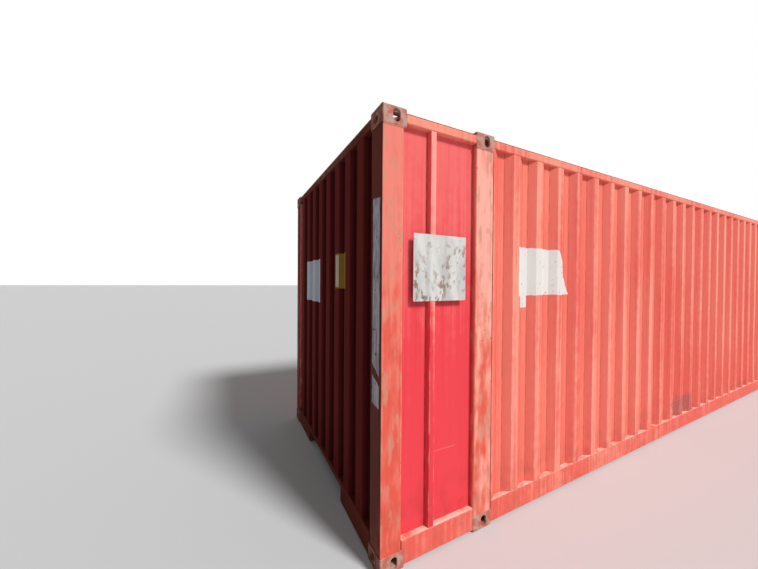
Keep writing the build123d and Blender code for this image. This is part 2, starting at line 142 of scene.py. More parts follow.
def bent(
    line: Sequence[Flat],
    radius: float,
    closed: bool = False,
    steps: int = 3,
    longest: float = math.inf,
    shoulder: float = 7.0,
) -> list[Station]:
    """Stations along a line whose corners are rounded as a press rounds them.

    Args:
        line: Corner points. The sheet or solid lies to the line's left.
        radius: Bend radius.
        closed: Whether the line returns to its start.
        steps: Facets in each bend.
        longest: Longest flat left undivided.
        shoulder: Width beside a bend over which its wear fades.

    Returns:
        The stations in order.
    """
    points = [Vector(point) for point in line]
    follow = points[1:] + (points[:1] if closed else [])
    runs = [end - start for start, end in zip(points, follow)]
    headings = [math.atan2(run.y, run.x) for run in runs]
    count = len(runs)
    turns = [
        (headings[index % count] - headings[index - 1] + math.pi) % math.tau - math.pi
        if closed or 0 < index < count
        else 0.0
        for index in range(count + 1)
    ]
    signs = [math.copysign(1, turn) if turn else 0.0 for turn in turns]
    trims = [
        min(radius * abs(math.tan(turn / 2)), 0.45 * min(runs[index - 1].length, runs[index % count].length))
        for index, turn in enumerate(turns)
    ]
    stations = []
    for index, (start, run, heading) in enumerate(zip(points, runs, headings)):
        way = run.normalized()
        near, far = trims[index], run.length - trims[index + 1]
        cuts = [near, far]
        if far - near > 3 * shoulder:
            low = near + shoulder if turns[index] else near
            high = far - shoulder if turns[index + 1] else far
            cuts += levels(low, high, longest)
        for cut in sorted(set(round(cut, 4) for cut in cuts)):
            sign = signs[index] if cut - near < 1e-3 else signs[index + 1] if far - cut < 1e-3 else 0.0
            spot = start + way * cut
            stations.append(Station(spot.x, spot.y, heading, sign))
        turn, trim = turns[index + 1], trims[index + 1]
        if not turn or not trim:
            continue
        swing = trim / math.tan(turn / 2)
        centre = start + way * far + Vector((-way.y, way.x)) * swing
        for step in range(1, steps):
            angle = heading + turn * step / steps
            spot = centre + Vector((math.sin(angle), -math.cos(angle))) * swing
            stations.append(Station(spot.x, spot.y, angle, signs[index + 1]))
    return stations


def rectangle(a_limits: Flat, b_limits: Flat) -> list[Flat]:
    """Corners of a rectangle, its inside to the left."""
    (a0, a1), (b0, b1) = a_limits, b_limits
    return [(a0, b0), (a1, b0), (a1, b1), (a0, b1)]


def circle(sides: int, shift: float = 0.0) -> list[Flat]:
    """Points round a circle of radius 1, shifted on by a share of a step."""
    angles = [math.tau * (side + shift) / sides for side in range(sides)]
    return [(math.cos(angle), math.sin(angle)) for angle in angles]


def corrugated(span: Flat, middles: Iterable[float], foot: Flat, crest: Flat) -> list[Flat]:
    """Corners of a sheet pressed in trapezoid waves.

    Args:
        span: Places of the sheet's two edges.
        middles: Middle of each wave.
        foot: Half width of a wave's foot, and the level of the flats between the waves.
        crest: Half width and level of its crest.

    Returns:
        Places and levels of the corners, from edge to edge.
    """
    (wide, base), (narrow, top) = foot, crest
    corners = ((-wide, base), (-narrow, top), (narrow, top), (wide, base))
    waves = [(middle + half, level) for middle in middles for half, level in corners]
    return [(span[0], base), *waves, (span[1], base)]


def fitted(span: Flat, margin: float, wave: float, gap: float) -> list[float]:
    """Middles of a whole number of waves, spread evenly between two edges.

    Args:
        span: Places of the two edges.
        margin: Flat left beside each edge.
        wave: Width of one wave.
        gap: Rough width between two waves.

    Returns:
        The middles in order.
    """
    run = span[1] - span[0] - 2 * margin
    count = round((run + gap) / (wave + gap))
    step = (run - wave) / (count - 1)
    return [span[0] + margin + wave / 2 + index * step for index in range(count)]


def from_above(line: Sequence[Flat]) -> list[Flat]:
    """Line given as places across an end face and levels in from it, turned into a section run up."""
    return [(level, place) for place, level in reversed(line)]


def ripple(a: float, b: float, size: float, seed: float) -> float:
    """Smooth unevenness between about -1 and 1, with swells of the given size."""
    return noise.noise(Vector((a / size, b / size, seed)))


def mesh_of(form: bmesh.types.BMesh, name: str) -> bpy.types.Mesh:
    """Mesh of what was drawn, its faces turned outward.

    Args:
        form: The drawing, which is freed.
        name: Name of the mesh.

    Returns:
        The mesh.
    """
    bmesh.ops.recalc_face_normals(form, faces=form.faces)
    data = bpy.data.meshes.new(name)
    form.to_mesh(data)
    form.free()
    return data


def placed(name: str, data: bpy.types.ID) -> bpy.types.Object:
    """Object put in the scene.

    Args:
        name: Its name.
        data: Its mesh, camera or light.

    Returns:
        The object.
    """
    thing = bpy.data.objects.new(name, data)
    bpy.context.scene.collection.objects.link(thing)
    return thing


class Piece:
    """Mesh of one piece of the visual, gathered from pressed sheets, bars and blocks."""

    def __init__(self, name: str) -> None:
        """Start an empty piece.

        Args:
            name: Its name.
        """
        self.name = name
        self.mesh = bmesh.new()
        self.layers = [self.mesh.verts.layers.float.new(layer) for layer in LAYERS]

    def vertex(self, place: Vector, *values: float) -> Vertex:
        """Add one vertex.

        Args:
            place: Where it is.
            values: Its bend, how deep it lies and how far it leans from the sheet's plane. The rest is 0.

        Returns:
            The vertex.
        """
        vertex = self.mesh.verts.new(place)
        for layer, value in zip(self.layers, values):
            vertex[layer] = value
        return vertex

    def loft(self, rings: Sequence[Sequence[Vertex]], stations: int = 0) -> None:
        """Join closed rings of vertices by quads, and close both ends.

        Args:
            rings: The rings in order.
            stations: Stations of a sheet's line, whose ends are strips of quads. Other ends are one face.
        """
        for low, high in zip(rings, rings[1:]):
            for index in range(len(low)):
                self.mesh.faces.new((low[index - 1], low[index], high[index], high[index - 1]))
        for ring in (rings[0], rings[-1]):
            if not stations:
                self.mesh.faces.new(ring)
            for index in range(stations - 1):
                back = 2 * stations - 1 - index
                self.mesh.faces.new((ring[index], ring[index + 1], ring[back - 1], ring[back]))

    def sheet(
        self,
        stations: Sequence[Station],
        thickness: float,
        run_levels: Sequence[float],
        corner: Corner,
        run: Run,
        depth_of: Callable[[float, float], float] = lambda a, b: 0.0,
        dent: Callable[[float, float], float] = lambda a, level: 0.0,
        warp: Callable[[float, float, float], Flat] = lambda a, b, level: (a, b),
    ) -> None:
        """Add a pressed sheet.

        Args:
            stations: The bent line of its outer skin.
            thickness: Sheet thickness, to the line's left.
            run_levels: Levels at which the section is repeated.
            corner: Corner that its sizes are counted from.
            run: Direction of the run.
            depth_of: How deep a point (a, b) lies, from 0 on the outer flats to 1.
            dent: Depth of a dent at a place along the line and a level.
            warp: Where a point (a, b) goes at a level.
        """
        plane = math.atan2(stations[-1].b - stations[0].b, stations[-1].a - stations[0].a)
        rings = []
        for level in run_levels:
            skins = []
            for skin in (0.0, thickness):
                side = []
                for station in stations:
                    along = level if run is Run.ALONG else station.a
                    a, b = warp(*station.aside(dent(along, level)), level)
                    a -= math.sin(station.heading) * skin
                    b += math.cos(station.heading) * skin
                    lean = abs(math.sin(station.heading - plane))
                    values = (station.bend, depth_of(station.a, station.b), lean)
                    side.append(self.vertex(run.at(corner, a, b, level), *values))
                skins.append(side)
            rings.append(skins[0] + skins[1][::-1])
        self.loft(rings, len(stations))

    def prism(
        self,
        outline: Sequence[Flat],
        radius: float,
        span: Flat,
        corner: Corner,
        run: Run,
        edge: float = 1.5,
        longest: float = math.inf,
        steps: int = 2,
    ) -> None:
        """Add a solid bar of any section, with rounded long edges and eased ends.

        Args:
            outline: Corners of the section, its inside to the left.
            radius: Radius of the long edges.
            span: Levels where it starts and ends.
            corner: Corner that its sizes are counted from.
            run: Direction of the run.
            edge: Size of the eased edge at both ends.
            longest: Longest length left undivided.
            steps: Facets in each rounded edge.
        """
        stations = bent(outline, radius, closed=True, steps=steps)
        low, high = span
        body = [(level, 0.0) for level in levels(low + edge, high - edge, longest)]
        rings = []
        for level, inset in [(low, edge), *body, (high, edge)]:
            places = [run.at(corner, *station.aside(inset), level) for station in stations]
            bends = [1.0 if inset else station.bend for station in stations]
            rings.append([self.vertex(place, bend) for place, bend in zip(places, bends)])
        self.loft(rings)

    def block(self, corner: Corner, inward: Flat, across: Flat, up: Flat, radius: float) -> None:
        """Add a block with eased edges between three pairs of limits."""
        self.prism(rectangle(inward, across), radius, up, corner, Run.UP, edge=min(radius, 1.5))

    def turned(self, corner: Corner, run: Run, centre: Flat, profile: Iterable[Flat], sides: int) -> None:
        """Add a solid turned round a line.

        Args:
            corner: Corner that its place is counted from.
            run: Direction of the line.
            centre: Where the line is.
            profile: Levels and radii along it.
            sides: Facets round it.
        """
        a, b = centre
        self.loft(
            [
                [self.vertex(run.at(corner, a + reach * u, b + reach * v, level)) for u, v in circle(sides)]
                for level, reach in profile
            ]
        )

    def rod(
        self, corner: Corner, centre: Flat, radius: float, span: Flat, dome: float = 0.0, sides: int = 20
    ) -> None:
        """Add an upright round rod.

        Args:
            corner: Corner that its place is counted from.
            centre: Distances of its middle from the end and from the side.
            radius: Its radius.
            span: Heights of its two ends.
            dome: How far its top is domed.
            sides: Facets round it.
        """
        brim = span[1] - dome
        angles = [step * math.pi / 8 for step in range(1, 4) if dome]
        bow = [(brim + dome * math.sin(angle), radius * math.cos(angle)) for angle in angles]
        self.turned(corner, Run.UP, centre, [(span[0], radius), (brim, radius), *bow], sides)

    def bolt(self, corner: Corner, place: Flat, face: float, radius: float) -> None:
        """Add a button-headed bolt that stands on a face toward the end.

        Args:
            corner: Corner that its place is counted from.
            place: Its distance from the side, and its height.
            face: Level of the face, in from the end.
            radius: Radius of its head.
        """
        angles = [step * math.pi / 7 for step in range(4)]
        head = [(face - 0.5 * radius * math.sin(angle), radius * math.cos(angle)) for angle in angles]
        self.turned(corner, Run.ALONG, place, head, 12)

    def bead(self, path: Sequence[Vector], radius: float, seed: float) -> None:
        """Add a weld bead along a path, rippled as the arc left it.

        Args:
            path: Points in the row frame.
            radius: Mean radius in millimetres.
            seed: Number that makes its ripples differ from another bead's.
        """
        rings = []
        for index, place in enumerate(path):
            ahead = (path[min(index + 1, len(path) - 1)] - path[max(index - 1, 0)]).normalized()
            side = ahead.orthogonal().normalized()
            over = ahead.cross(side)
            reach = radius * MM * (1 + 0.22 * math.sin(index * 1.9) + 0.15 * ripple(index, seed, 3, seed))
            rings.append([self.vertex(place + (side * u + over * v) * reach) for u, v in circle(6)])
        self.loft(rings)

    def copy_in(self, source: bpy.types.Mesh, place: Callable[[Vector], Vector]) -> None:
        """Add a copy of a mesh.

        Args:
            source: The mesh, drawn in millimetres.
            place: Where each of its points goes.
        """
        start = [self.vertex(place(vertex.co)) for vertex in source.vertices]
        for face in source.polygons:
            self.mesh.faces.new([start[index] for index in face.vertices])

    def finish(self, surface: Material, slot: str, *nodes: str, angle: float = 35.0) -> None:
        """Turn what was gathered into an object that rides on the frame.

        Args:
            surface: Its material.
            slot: Material slot of the record; not used.
            nodes: CAD nodes that it stands for.
            angle: Edges sharper than this in degrees stay sharp.
        """
        data = mesh_of(self.mesh, self.name)
        data.shade_smooth()
        data.set_sharp_from_angle(angle=math.radians(angle))
        data.materials.append(surface)
        thing = placed(self.name, data)
        weighted = thing.modifiers.new("flat faces stay flat", "WEIGHTED_NORMAL")
        weighted.keep_sharp = True
        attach(thing, "root")
        if nodes:
            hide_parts(*nodes)
        logging.info("%s: %d faces", self.name, len(data.polygons))


def linear(colour: str) -> tuple[float, float, float, float]:
    """Linear colour of an sRGB hex colour."""
    parts = [int(colour[index : index + 2], 16) / 255 for index in (1, 3, 5)]
    return (*[part / 12.92 if part <= 0.04045 else ((part + 0.055) / 1.055) ** 2.4 for part in parts], 1.0)


class Graph:
    """Node tree, filled by one method."""

    def __init__(self, tree: bpy.types.NodeTree) -> None:
        """Start with an empty tree."""
        self.tree = tree
        tree.nodes.clear()

    def add(
        self, kind: str, inputs: dict[str | int, object] | None = None, **settings: object
    ) -> bpy.types.Node:
        """Add a node.

        Args:
            kind: Type of shader node.
            inputs: Input sockets by name or number, each linked to a socket or set to a value.
            settings: Properties of the node.

        Returns:
            The node.
        """
        node = self.tree.nodes.new(f"ShaderNode{kind}")
        for key, value in settings.items():
            setattr(node, key, value)
        for key, value in (inputs or {}).items():
            if isinstance(value, bpy.types.NodeSocket):
                self.tree.links.new(value, node.inputs[key])
            else:
                node.inputs[key].default_value = value
        return node


class Surface(Graph):
    """Node graph of one material, laid up coat by coat on object coordinates in metres."""

    def __init__(self, name: str) -> None:
        """Start an empty graph.

        Args:
            name: Name of the material.
        """
        self.material = bpy.data.materials.new(name)
        self.material.use_nodes = True
        super().__init__(self.material.node_tree)
        self.place = self.add("TexCoord").outputs["Object"]
        self.bump: Socket | None = None

    def grain(
        self, size: float | Spot, low: float, high: float, detail: float = 3.0, seed: float = 0.0
    ) -> Socket:
        """Mask from noise with features of a real size.

        Args:
            size: Feature size in millimetres, the same every way or along X, Y and Z.
            low: Noise level where the mask is 0.
            high: Noise level where the mask is 1.
            detail: Octaves of finer detail.
            seed: Shift in metres that makes patterns differ.

        Returns:
            The mask, from 0 to 1.
        """
        scale = [1 / (one * MM) for one in (size if isinstance(size, tuple) else (size,) * 3)]
        shift = (seed, seed * 1.7, seed * 0.6)
        spot = self.add("Mapping", {"Vector": self.place, "Location": shift, "Scale": scale}).outputs[0]
        pattern = self.add("TexNoise", {"Vector": spot, "Scale": 1.0, "Detail": detail})
        return self.ease(pattern.outputs["Fac"], low, high)

    def ease(self, value: Socket, low: float, high: float, start: float = 0.0, end: float = 1.0) -> Socket:
        """Value eased from start to end between two levels of another."""
        limits = {"Value": value, "From Min": low, "From Max": high, "To Min": start, "To Max": end}
        return self.add("MapRange", limits, interpolation_type="SMOOTHSTEP").outputs[0]

    def join(self, how: str, *masks: Socket | float) -> Socket:
        """Masks joined one after another by a maths operation, each result kept between 0 and 1.

        Args:
            how: The operation.
            masks: The masks.

        Returns:
            The joined mask, or the mask itself where it is alone.
        """
        joined, *others = masks
        for other in others:
            joined = self.add("Math", {0: joined, 1: other}, operation=how, use_clamp=True).outputs[0]
        return joined

    def coat(self, under: Socket | str, over: Socket | str, *masks: Socket | float) -> Socket:
        """Colour with another laid over it.

        Args:
            under: The colour.
            over: The other colour.
            masks: Masks whose product says where the other lies.

        Returns:
            The new colour.
        """
        under, over = (linear(one) if isinstance(one, str) else one for one in (under, over))
        mask = self.join("MULTIPLY", *masks)
        return self.add("Mix", {0: mask, 6: under, 7: over}, data_type="RGBA").outputs[2]

    def box(
        self, middle: Spot, size: Spot, ragged: float, fade: float, cut: tuple[Flat, Flat] | None = None
    ) -> Socket:
        """Mask of a box-shaped area with an uneven edge.

        Args:
            middle: Centre in the row frame, in millimetres.
            size: Full size along X, Y and Z.
            ragged: How far the edge wanders.
            fade: Width over which it fades.
            cut: Two points (x, z) of a line, to the left of which nothing is left.

        Returns:
            The mask, from 0 to 1.
        """
        wander = self.add("TexNoise", {"Vector": self.place, "Scale": 14.0, "Detail": 5.0})
        chain = [wander.outputs["Color"]]
        for how, inputs in (
            ("SUBTRACT", {1: (0.5, 0.5, 0.5)}),
            ("MULTIPLY_ADD", {1: (ragged * MM,) * 3, 2: self.place}),
            ("SUBTRACT", {1: [one * MM for one in middle]}),
            ("ABSOLUTE", {}),
            ("SUBTRACT", {1: [one * MM / 2 for one in size]}),
        ):
            chain.append(self.add("VectorMath", {0: chain[-1], **inputs}, operation=how).outputs[0])
        past = list(self.add("SeparateXYZ", {0: chain[-1]}).outputs)
        if cut:
            start, end = (Vector(point) * MM for point in cut)
            along = (end - start).normalized()
            aside = Vector((-along.y, 0.0, along.x))
            over = self.add("VectorMath", {0: chain[2], 1: aside}, operation="DOT_PRODUCT").outputs["Value"]
            past.append(self.join("SUBTRACT", over, aside.x * start.x + aside.z * start.y))
        return self.ease(self.join("MAXIMUM", *past), 0.0, fade * MM, 1.0, 0.0)

    def relief(self, height: Socket, depth: float, strength: float = 1.0) -> None:
        """Raise the surface by a height mask.

        Args:
            height: The mask.
            depth: Its full depth in millimetres.
            strength: Share of it that shows.
        """
        inputs = {"Height": height, "Distance": depth * MM, "Strength": strength}
        if self.bump:
            inputs["Normal"] = self.bump
        self.bump = self.add("Bump", inputs).outputs[0]

    def shade(self, colour: Socket | str, roughness: Socket | float, **constants: float) -> Material:
        """Close the graph with its shader.

        Args:
            colour: Base colour.
            roughness: Roughness.
            constants: Further constants of the shader, with _ for a space.

        Returns:
            The material.
        """
        inputs = {key.replace("_", " "): value for key, value in constants.items()}
        inputs["Base Color"] = linear(colour) if isinstance(colour, str) else colour
        inputs["Roughness"] = roughness
        if self.bump:
            inputs["Normal"] = self.bump
        self.add("OutputMaterial", {"Surface": self.add("BsdfPrincipled", inputs).outputs[0]})
        return self.material


@dataclass(frozen=True)
class Mark:
    """Area of another colour on a painted face, in the row frame and in millimetres."""

    middle: Spot
    size: Spot
    colour: str
    ragged: float = 6.0
    fade: float = 4.0
    cover: float = 1.0
    opacity: float = 1.0
    cut: tuple[Flat, Flat] | None = None

    @classmethod
    def on_side(
        cls, inward: float, up: float, size: Flat, colour: str, *edge: float, **more: object
    ) -> "Mark":
        """Mark on the left side wall, at a distance in from the blank end."""
        return cls((inward - LENGTH / 2, -WIDTH / 2, up), (size[0], 120, size[1]), colour, *edge, **more)

    @classmethod
    def on_end(cls, across: float, up: float, size: Flat, colour: str) -> "Mark":
        """Crisp mark on the blank end, at a distance from the left side."""
        return cls((-LENGTH / 2, across - WIDTH / 2, up), (200, *size), colour, 3.0, 2.0)

    def mask(self, surface: Surface) -> Socket:
        """Where it shows, worn through in spots unless its cover is full.

        Args:
            surface: Surface that it is painted on.

        Returns:
            The mask, from 0 to 1.
        """
        mask = surface.box(self.middle, self.size, self.ragged, self.fade, self.cut)
        if self.cover == 1:
            return mask
        level = 0.66 - self.cover * 0.4
        return surface.join("MULTIPLY", mask, surface.grain(24.0, level, level + 0.1, 6.0, 5.5))


@dataclass(frozen=True)
class Enamel:
    """Alkyd enamel sprayed on shot-blasted steel, then chalked by sun and streaked by rain and rust."""

    name: str
    sound: str
    chalked: str
    sunk: str
    grime_and_shade: str
    chalk: float = 0.5
    rising: float = 0.0
    blotch: float = 0.15
    blotch_size: Spot = (70.0, 70.0, 70.0)
    bare: str = ""
    wear: float = 0.6
    streaks: float = 0.4
    splash: float = 0.35
    rust: float = 0.3
    oxide: tuple[str, str] = ("#5b2a17", "#8d4a22")
    bloom: str = "#b06a48"
    dust: float = 0.0
    dust_and_highlight: str = "#f6cbbb"
    gloss: Flat = (0.55, 0.78)
    shine: float = 0.16
    marks: tuple[Mark, ...] = ()

    def chalking(self, surface: Surface, mottle: Socket, height: Socket) -> Socket:
        """Where sun and rain have chalked it: in broad swells, in runs and in blotches, by height.

        Args:
            surface: Surface that it is laid on.
            mottle: Where it is blotched.
            height: Height over the base in metres.

        Returns:
            The mask, from 0 to 1.
        """
        swell = surface.grain((900.0, 900.0, 1500.0), 0.25, 0.75, 2.0)
        runs = surface.grain((30.0, 30.0, 2600.0), 0.25, 0.75, 4.0, 3.1)
        shares = ((swell, 0.45), (runs, 0.55 - self.blotch), (mottle, self.blotch))
        patchy = [surface.join("MULTIPLY", pattern, share) for pattern, share in shares]
        patchy.append(surface.ease(height, 0.5, 2.7, -self.rising, self.rising))
        return surface.ease(surface.join("ADD", *patchy), 0.75 - self.chalk, 1.35 - self.chalk)

    def rusting(self, surface: Surface, colour: Socket, rubbed: Socket) -> tuple[Socket, Socket]:
        """Rust in clusters of spots and along rubbed bends, with a stain about it.

        Args:
            surface: Surface that it is laid on.
            colour: Colour so far.
            rubbed: Where bends are rubbed.

        Returns:
            The colour with its rust, and where the rust is.
        """
        rust = self.rust
        cluster = surface.grain(330.0, 0.5, 0.68, 3.0, 13.0)
        pits = surface.grain(26.0, 0.74 - rust * 0.2, 0.8 - rust * 0.2, 7.0, 19.0)
        flakes = surface.grain((11.0, 11.0, 40.0), 0.66 - rust * 0.14, 0.72, 6.0, 6.1)
        halo = surface.grain((26.0, 26.0, 70.0), 0.6 - rust * 0.12, 0.75, 3.0, 19.0)
        spots, edge = surface.join("MULTIPLY", cluster, pits), surface.join("MULTIPLY", rubbed, flakes)
        rusty = surface.join("MAXIMUM", spots, edge)
        colour = surface.coat(colour, surface.coat(*self.oxide, surface.grain(6.0, 0.35, 0.65, 4.0)), rusty)
        about = surface.join("SUBTRACT", surface.join("MULTIPLY", cluster, halo), rusty)
        return surface.coat(colour, self.bloom, about, min(0.4, rust * 1.5)), rusty

    def soiling(self, surface: Surface, colour: Socket, height: Socket) -> Socket:
        """Dirt that has run down or splashed up from the ground, and a pale colour on upward faces that is
        partly settled dust and partly painted highlight.

        Args:
            surface: Surface that it is laid on.
            colour: Colour so far.
            height: Height over the base in metres.

        Returns:
            The soiled colour.
        """
        # On the blank end and its beams the grime colour is painted shade, so there these runs and the
        # darkening towards the foot are painted shade
        drips = surface.grain((14.0, 14.0, 900.0), 0.56, 0.8, 3.0, 11.3)
        colour = surface.coat(colour, self.grime_and_shade, drips, self.streaks)
        low = surface.ease(height, 0.1, 0.6, self.splash, 0.0)
        colour = surface.coat(colour, self.grime_and_shade, low, surface.grain(110.0, 0.35, 0.7, 5.0, 1.9))
        if not self.dust:
            return colour
        # Upward faces made pale: partly settled dust, partly painted highlight where light catches the ledges
        normal = surface.add("TexCoord").outputs["Normal"]
        upward = surface.ease(surface.add("SeparateXYZ", {0: normal}).outputs["Z"], 0.6, 0.9)
        patches = surface.grain(90.0, 0.25, 0.6, 5.0, 17.0)
        fading = surface.ease(height, 0.3, 0.9, 1.0, 0.2)
        return surface.coat(colour, self.dust_and_highlight, upward, patches, fading, self.dust)

    def material(self) -> Material:
        """Build the material: body and recess colours, chalking, rubbed and rusty edges, marks and dirt, with
        painted shade and painted highlight on the finishes that carry them.

        Returns:
            The material.
        """
        surface = Surface(self.name)
        bend, depth, lean = (
            surface.add("Attribute", attribute_name=layer).outputs["Fac"] for layer in LAYERS
        )
        height = surface.add("SeparateXYZ", {0: surface.place}).outputs["Z"]
        mottle = surface.grain(self.blotch_size, 0.3, 0.72, 5.0, 7.7)
        chalk = self.chalking(surface, mottle, height)
        colour = surface.coat(self.sound, self.chalked, chalk)
        colour = surface.coat(colour, self.sound, surface.ease(lean, 0.2, 0.45), 0.6)
        # Recess colour: on the blank end a near-black red that is painted shade, on the posts' returns a
        # deeper red that is partly painted shade
        colour = surface.coat(colour, self.sunk, depth, 0.7)
        if self.bare:
            worn = surface.grain((46.0, 46.0, 150.0), 0.54, 0.66, 6.0, 21.0)
            colour = surface.coat(colour, self.bare, worn, 0.75)
        # Painted shade: hollow bends darkened towards the grime colour, in blotches
        colour = surface.coat(colour, self.grime_and_shade, bend, -0.6, surface.ease(mottle, 0.0, 0.8, 0.35, 1.0))
        rubbed = surface.join("MULTIPLY", bend, surface.grain((26.0, 26.0, 130.0), 0.42, 0.66, 4.0, 2.2))
        colour = surface.coat(colour, self.chalked, rubbed, self.wear)
        colour, rust = self.rusting(surface, colour, rubbed)
        for mark in self.marks:
            colour = surface.coat(colour, mark.colour, mark.mask(surface), mark.opacity)
        colour = self.soiling(surface, colour, height)
        surface.relief(surface.grain(2.6, 0.2, 0.8, 2.0), 0.05, 0.6)
        surface.relief(surface.grain(130.0, 0.2, 0.8, 2.0, 4.4), 0.8, 0.4)
        surface.relief(surface.join("MULTIPLY", rust, surface.grain(3.2, 0.2, 0.8, 5.0)), 0.5)
        matt = surface.ease(chalk, 0.0, 1.0, *self.gloss)
        roughness = surface.join("MAXIMUM", matt, surface.join("MULTIPLY", rust, 0.92))
        return surface.shade(colour, roughness, Specular_IOR_Level=self.shine)


@dataclass(frozen=True)
class CastSteel:
    """Weldable cast steel, sand-cast and painted: coarse skin, edges knocked bare, tan rust bloom."""

    paint: tuple[str, str] = ("#b86a5b", "#bd978a")
    # Painted shade: darker copy of the paint for the faces on the blank end
    shaded: tuple[str, str] = ("#6d3a30", "#8a5c4e")
    bloom: str = "#a27561"
    rust: str = "#5f3422"

    def material(self) -> Material:
        """Build the material, darkened to painted shade on the blank end.

        Returns:
            The material.
        """
        surface = Surface("sand_cast_steel_worn_paint")
        worn = surface.grain(60.0, 0.4, 0.6, 6.0, 1.3)
        rust = surface.grain(30.0, 0.64, 0.76, 7.0, 4.0)
        colour = surface.coat(*self.paint, worn)
        colour = surface.coat(colour, self.bloom, surface.grain(24.0, 0.58, 0.74, 6.0, 8.0))
        colour = surface.coat(colour, self.rust, rust)
        # Painted shade on the faces at the blank end
        painted_shade_on_end = surface.box((-LENGTH / 2, 0, HEIGHT / 2), (16, WIDTH + 100, HEIGHT + 100), 0.0, 3.0)
        colour = surface.coat(colour, surface.coat(*self.shaded, worn), painted_shade_on_end)
        surface.relief(surface.grain(3.4, 0.2, 0.8, 4.0), 0.35)
        surface.relief(surface.grain(38.0, 0.2, 0.8, 3.0), 0.9, 0.6)
        return surface.shade(colour, surface.ease(rust, 0.0, 1.0, 0.68, 0.9), Specular_IOR_Level=0.16)


@dataclass(frozen=True)
class GalvanisedGear:
    """Hot-dip galvanised forgings under thin enamel, the zinc showing where hands and cams have rubbed."""

    enamel: tuple[str, str] = ("#c04b42", "#d87a6a")
    zinc: str = "#8c8681"
    rust: str = "#7c4530"

    def material(self) -> Material:
        """Build the material.

        Returns:
            The material.
        """
        surface = Surface("galvanised_steel_thin_enamel")
        colour = surface.coat(*self.enamel, surface.grain((60.0, 60.0, 400.0), 0.35, 0.68, 4.0, 5.0))
        handled = surface.grain(420.0, 0.48, 0.6, 2.0, 7.0)
        rubbed = surface.join("MULTIPLY", handled, surface.grain((26.0, 26.0, 90.0), 0.5, 0.6, 6.0, 2.0))
        colour = surface.coat(colour, self.zinc, rubbed, 0.85)
        colour = surface.coat(colour, self.rust, surface.grain((16.0, 16.0, 34.0), 0.62, 0.72, 6.0, 9.0))
        surface.relief(surface.grain(4.0, 0.2, 0.8, 3.0), 0.12)
        return surface.shade(colour, surface.ease(rubbed, 0.0, 1.0, 0.62, 0.45), Specular_IOR_Level=0.3)


@dataclass(frozen=True)
class GasketRubber:
    """Extruded EPDM rubber, black, greyed by dust on its lips."""

    rubber: str = "#141414"
    dust: str = "#3c3936"

    def material(self) -> Material:
        """Build the material.

        Returns:
            The material.
        """
        surface = Surface("extruded_epdm_rubber")
        dust = surface.grain(30.0, 0.45, 0.75, 5.0)
        surface.relief(surface.grain(5.0, 0.3, 0.7), 0.1)
        colour = surface.coat(self.rubber, self.dust, dust)
        return surface.shade(colour, surface.ease(dust, 0.0, 1.0, 0.55, 0.85))


@dataclass(frozen=True)
class FloorPlywood:
    """Rotary-cut hardwood plywood, edge-sealed and scuffed by loads: long grain, dark knots, dull wear."""

    wood: tuple[str, str] = ("#6d4a30", "#97704a")
    knots: str = "#3d2a1c"

    def material(self) -> Material:
        """Build the material.

        Returns:
            The material.
        """
        surface = Surface("hardwood_plywood_scuffed")
        grain = surface.grain((520.0, 9.0, 9.0), 0.35, 0.65, 4.0)
        colour = surface.coat(*self.wood, grain)
        colour = surface.coat(colour, self.knots, surface.grain(60.0, 0.6, 0.72, 5.0, 3.0))
        surface.relief(grain, 0.25)
        return surface.shade(colour, surface.ease(grain, 0.0, 1.0, 0.55, 0.75))


@dataclass(frozen=True)
class WaxedUnderframe:
    """Rolled steel sprayed with bituminous wax: near black, dull, rusting through where the wax is thin."""

    wax: str = "#2a2321"
    rust: str = "#5e3422"
    dust: str = "#4a443e"

    def material(self) -> Material:
        """Build the material.

        Returns:
            The material.
        """
        surface = Surface("bituminous_wax_on_steel")
        thin = surface.grain(55.0, 0.5, 0.68, 6.0, 2.0)
        colour = surface.coat(self.wax, self.rust, thin)
        colour = surface.coat(colour, self.dust, surface.grain(180.0, 0.45, 0.75, 4.0, 6.0))
        surface.relief(surface.grain(7.0, 0.2, 0.8, 4.0), 0.4)
        return surface.shade(colour, surface.ease(thin, 0.0, 1.0, 0.55, 0.85))


@dataclass(frozen=True)
class EnamelledPlate:
    """Aluminium plate, rolled and enamelled white, dulled, with shapeless rust-brown run-off stains."""

    enamel: tuple[str, str] = ("#dcdad6", "#bdbcba")
    stain: str = "#8c6c52"
    rust: str = "#5a3a28"

    def material(self) -> Material:
        """Build the material.

        Returns:
            The material.
        """
        surface = Surface("white_enamelled_aluminium_plate")
        colour = surface.coat(*self.enamel, surface.grain((70.0, 70.0, 300.0), 0.35, 0.68, 4.0, 3.3))
        where = surface.grain(260.0, 0.42, 0.6, 2.0, 5.1)
        stains = surface.join("MULTIPLY", where, surface.grain((30.0, 30.0, 52.0), 0.5, 0.62, 6.0, 8.8))
        colour = surface.coat(colour, self.stain, stains, 0.85)
        colour = surface.coat(colour, self.rust, stains, surface.grain(9.0, 0.55, 0.62, 5.0, 1.8))
        surface.relief(surface.grain(60.0, 0.2, 0.8, 2.0), 0.6, 0.5)
        return surface.shade(colour, surface.ease(stains, 0.0, 1.0, 0.5, 0.75), Specular_IOR_Level=0.25)


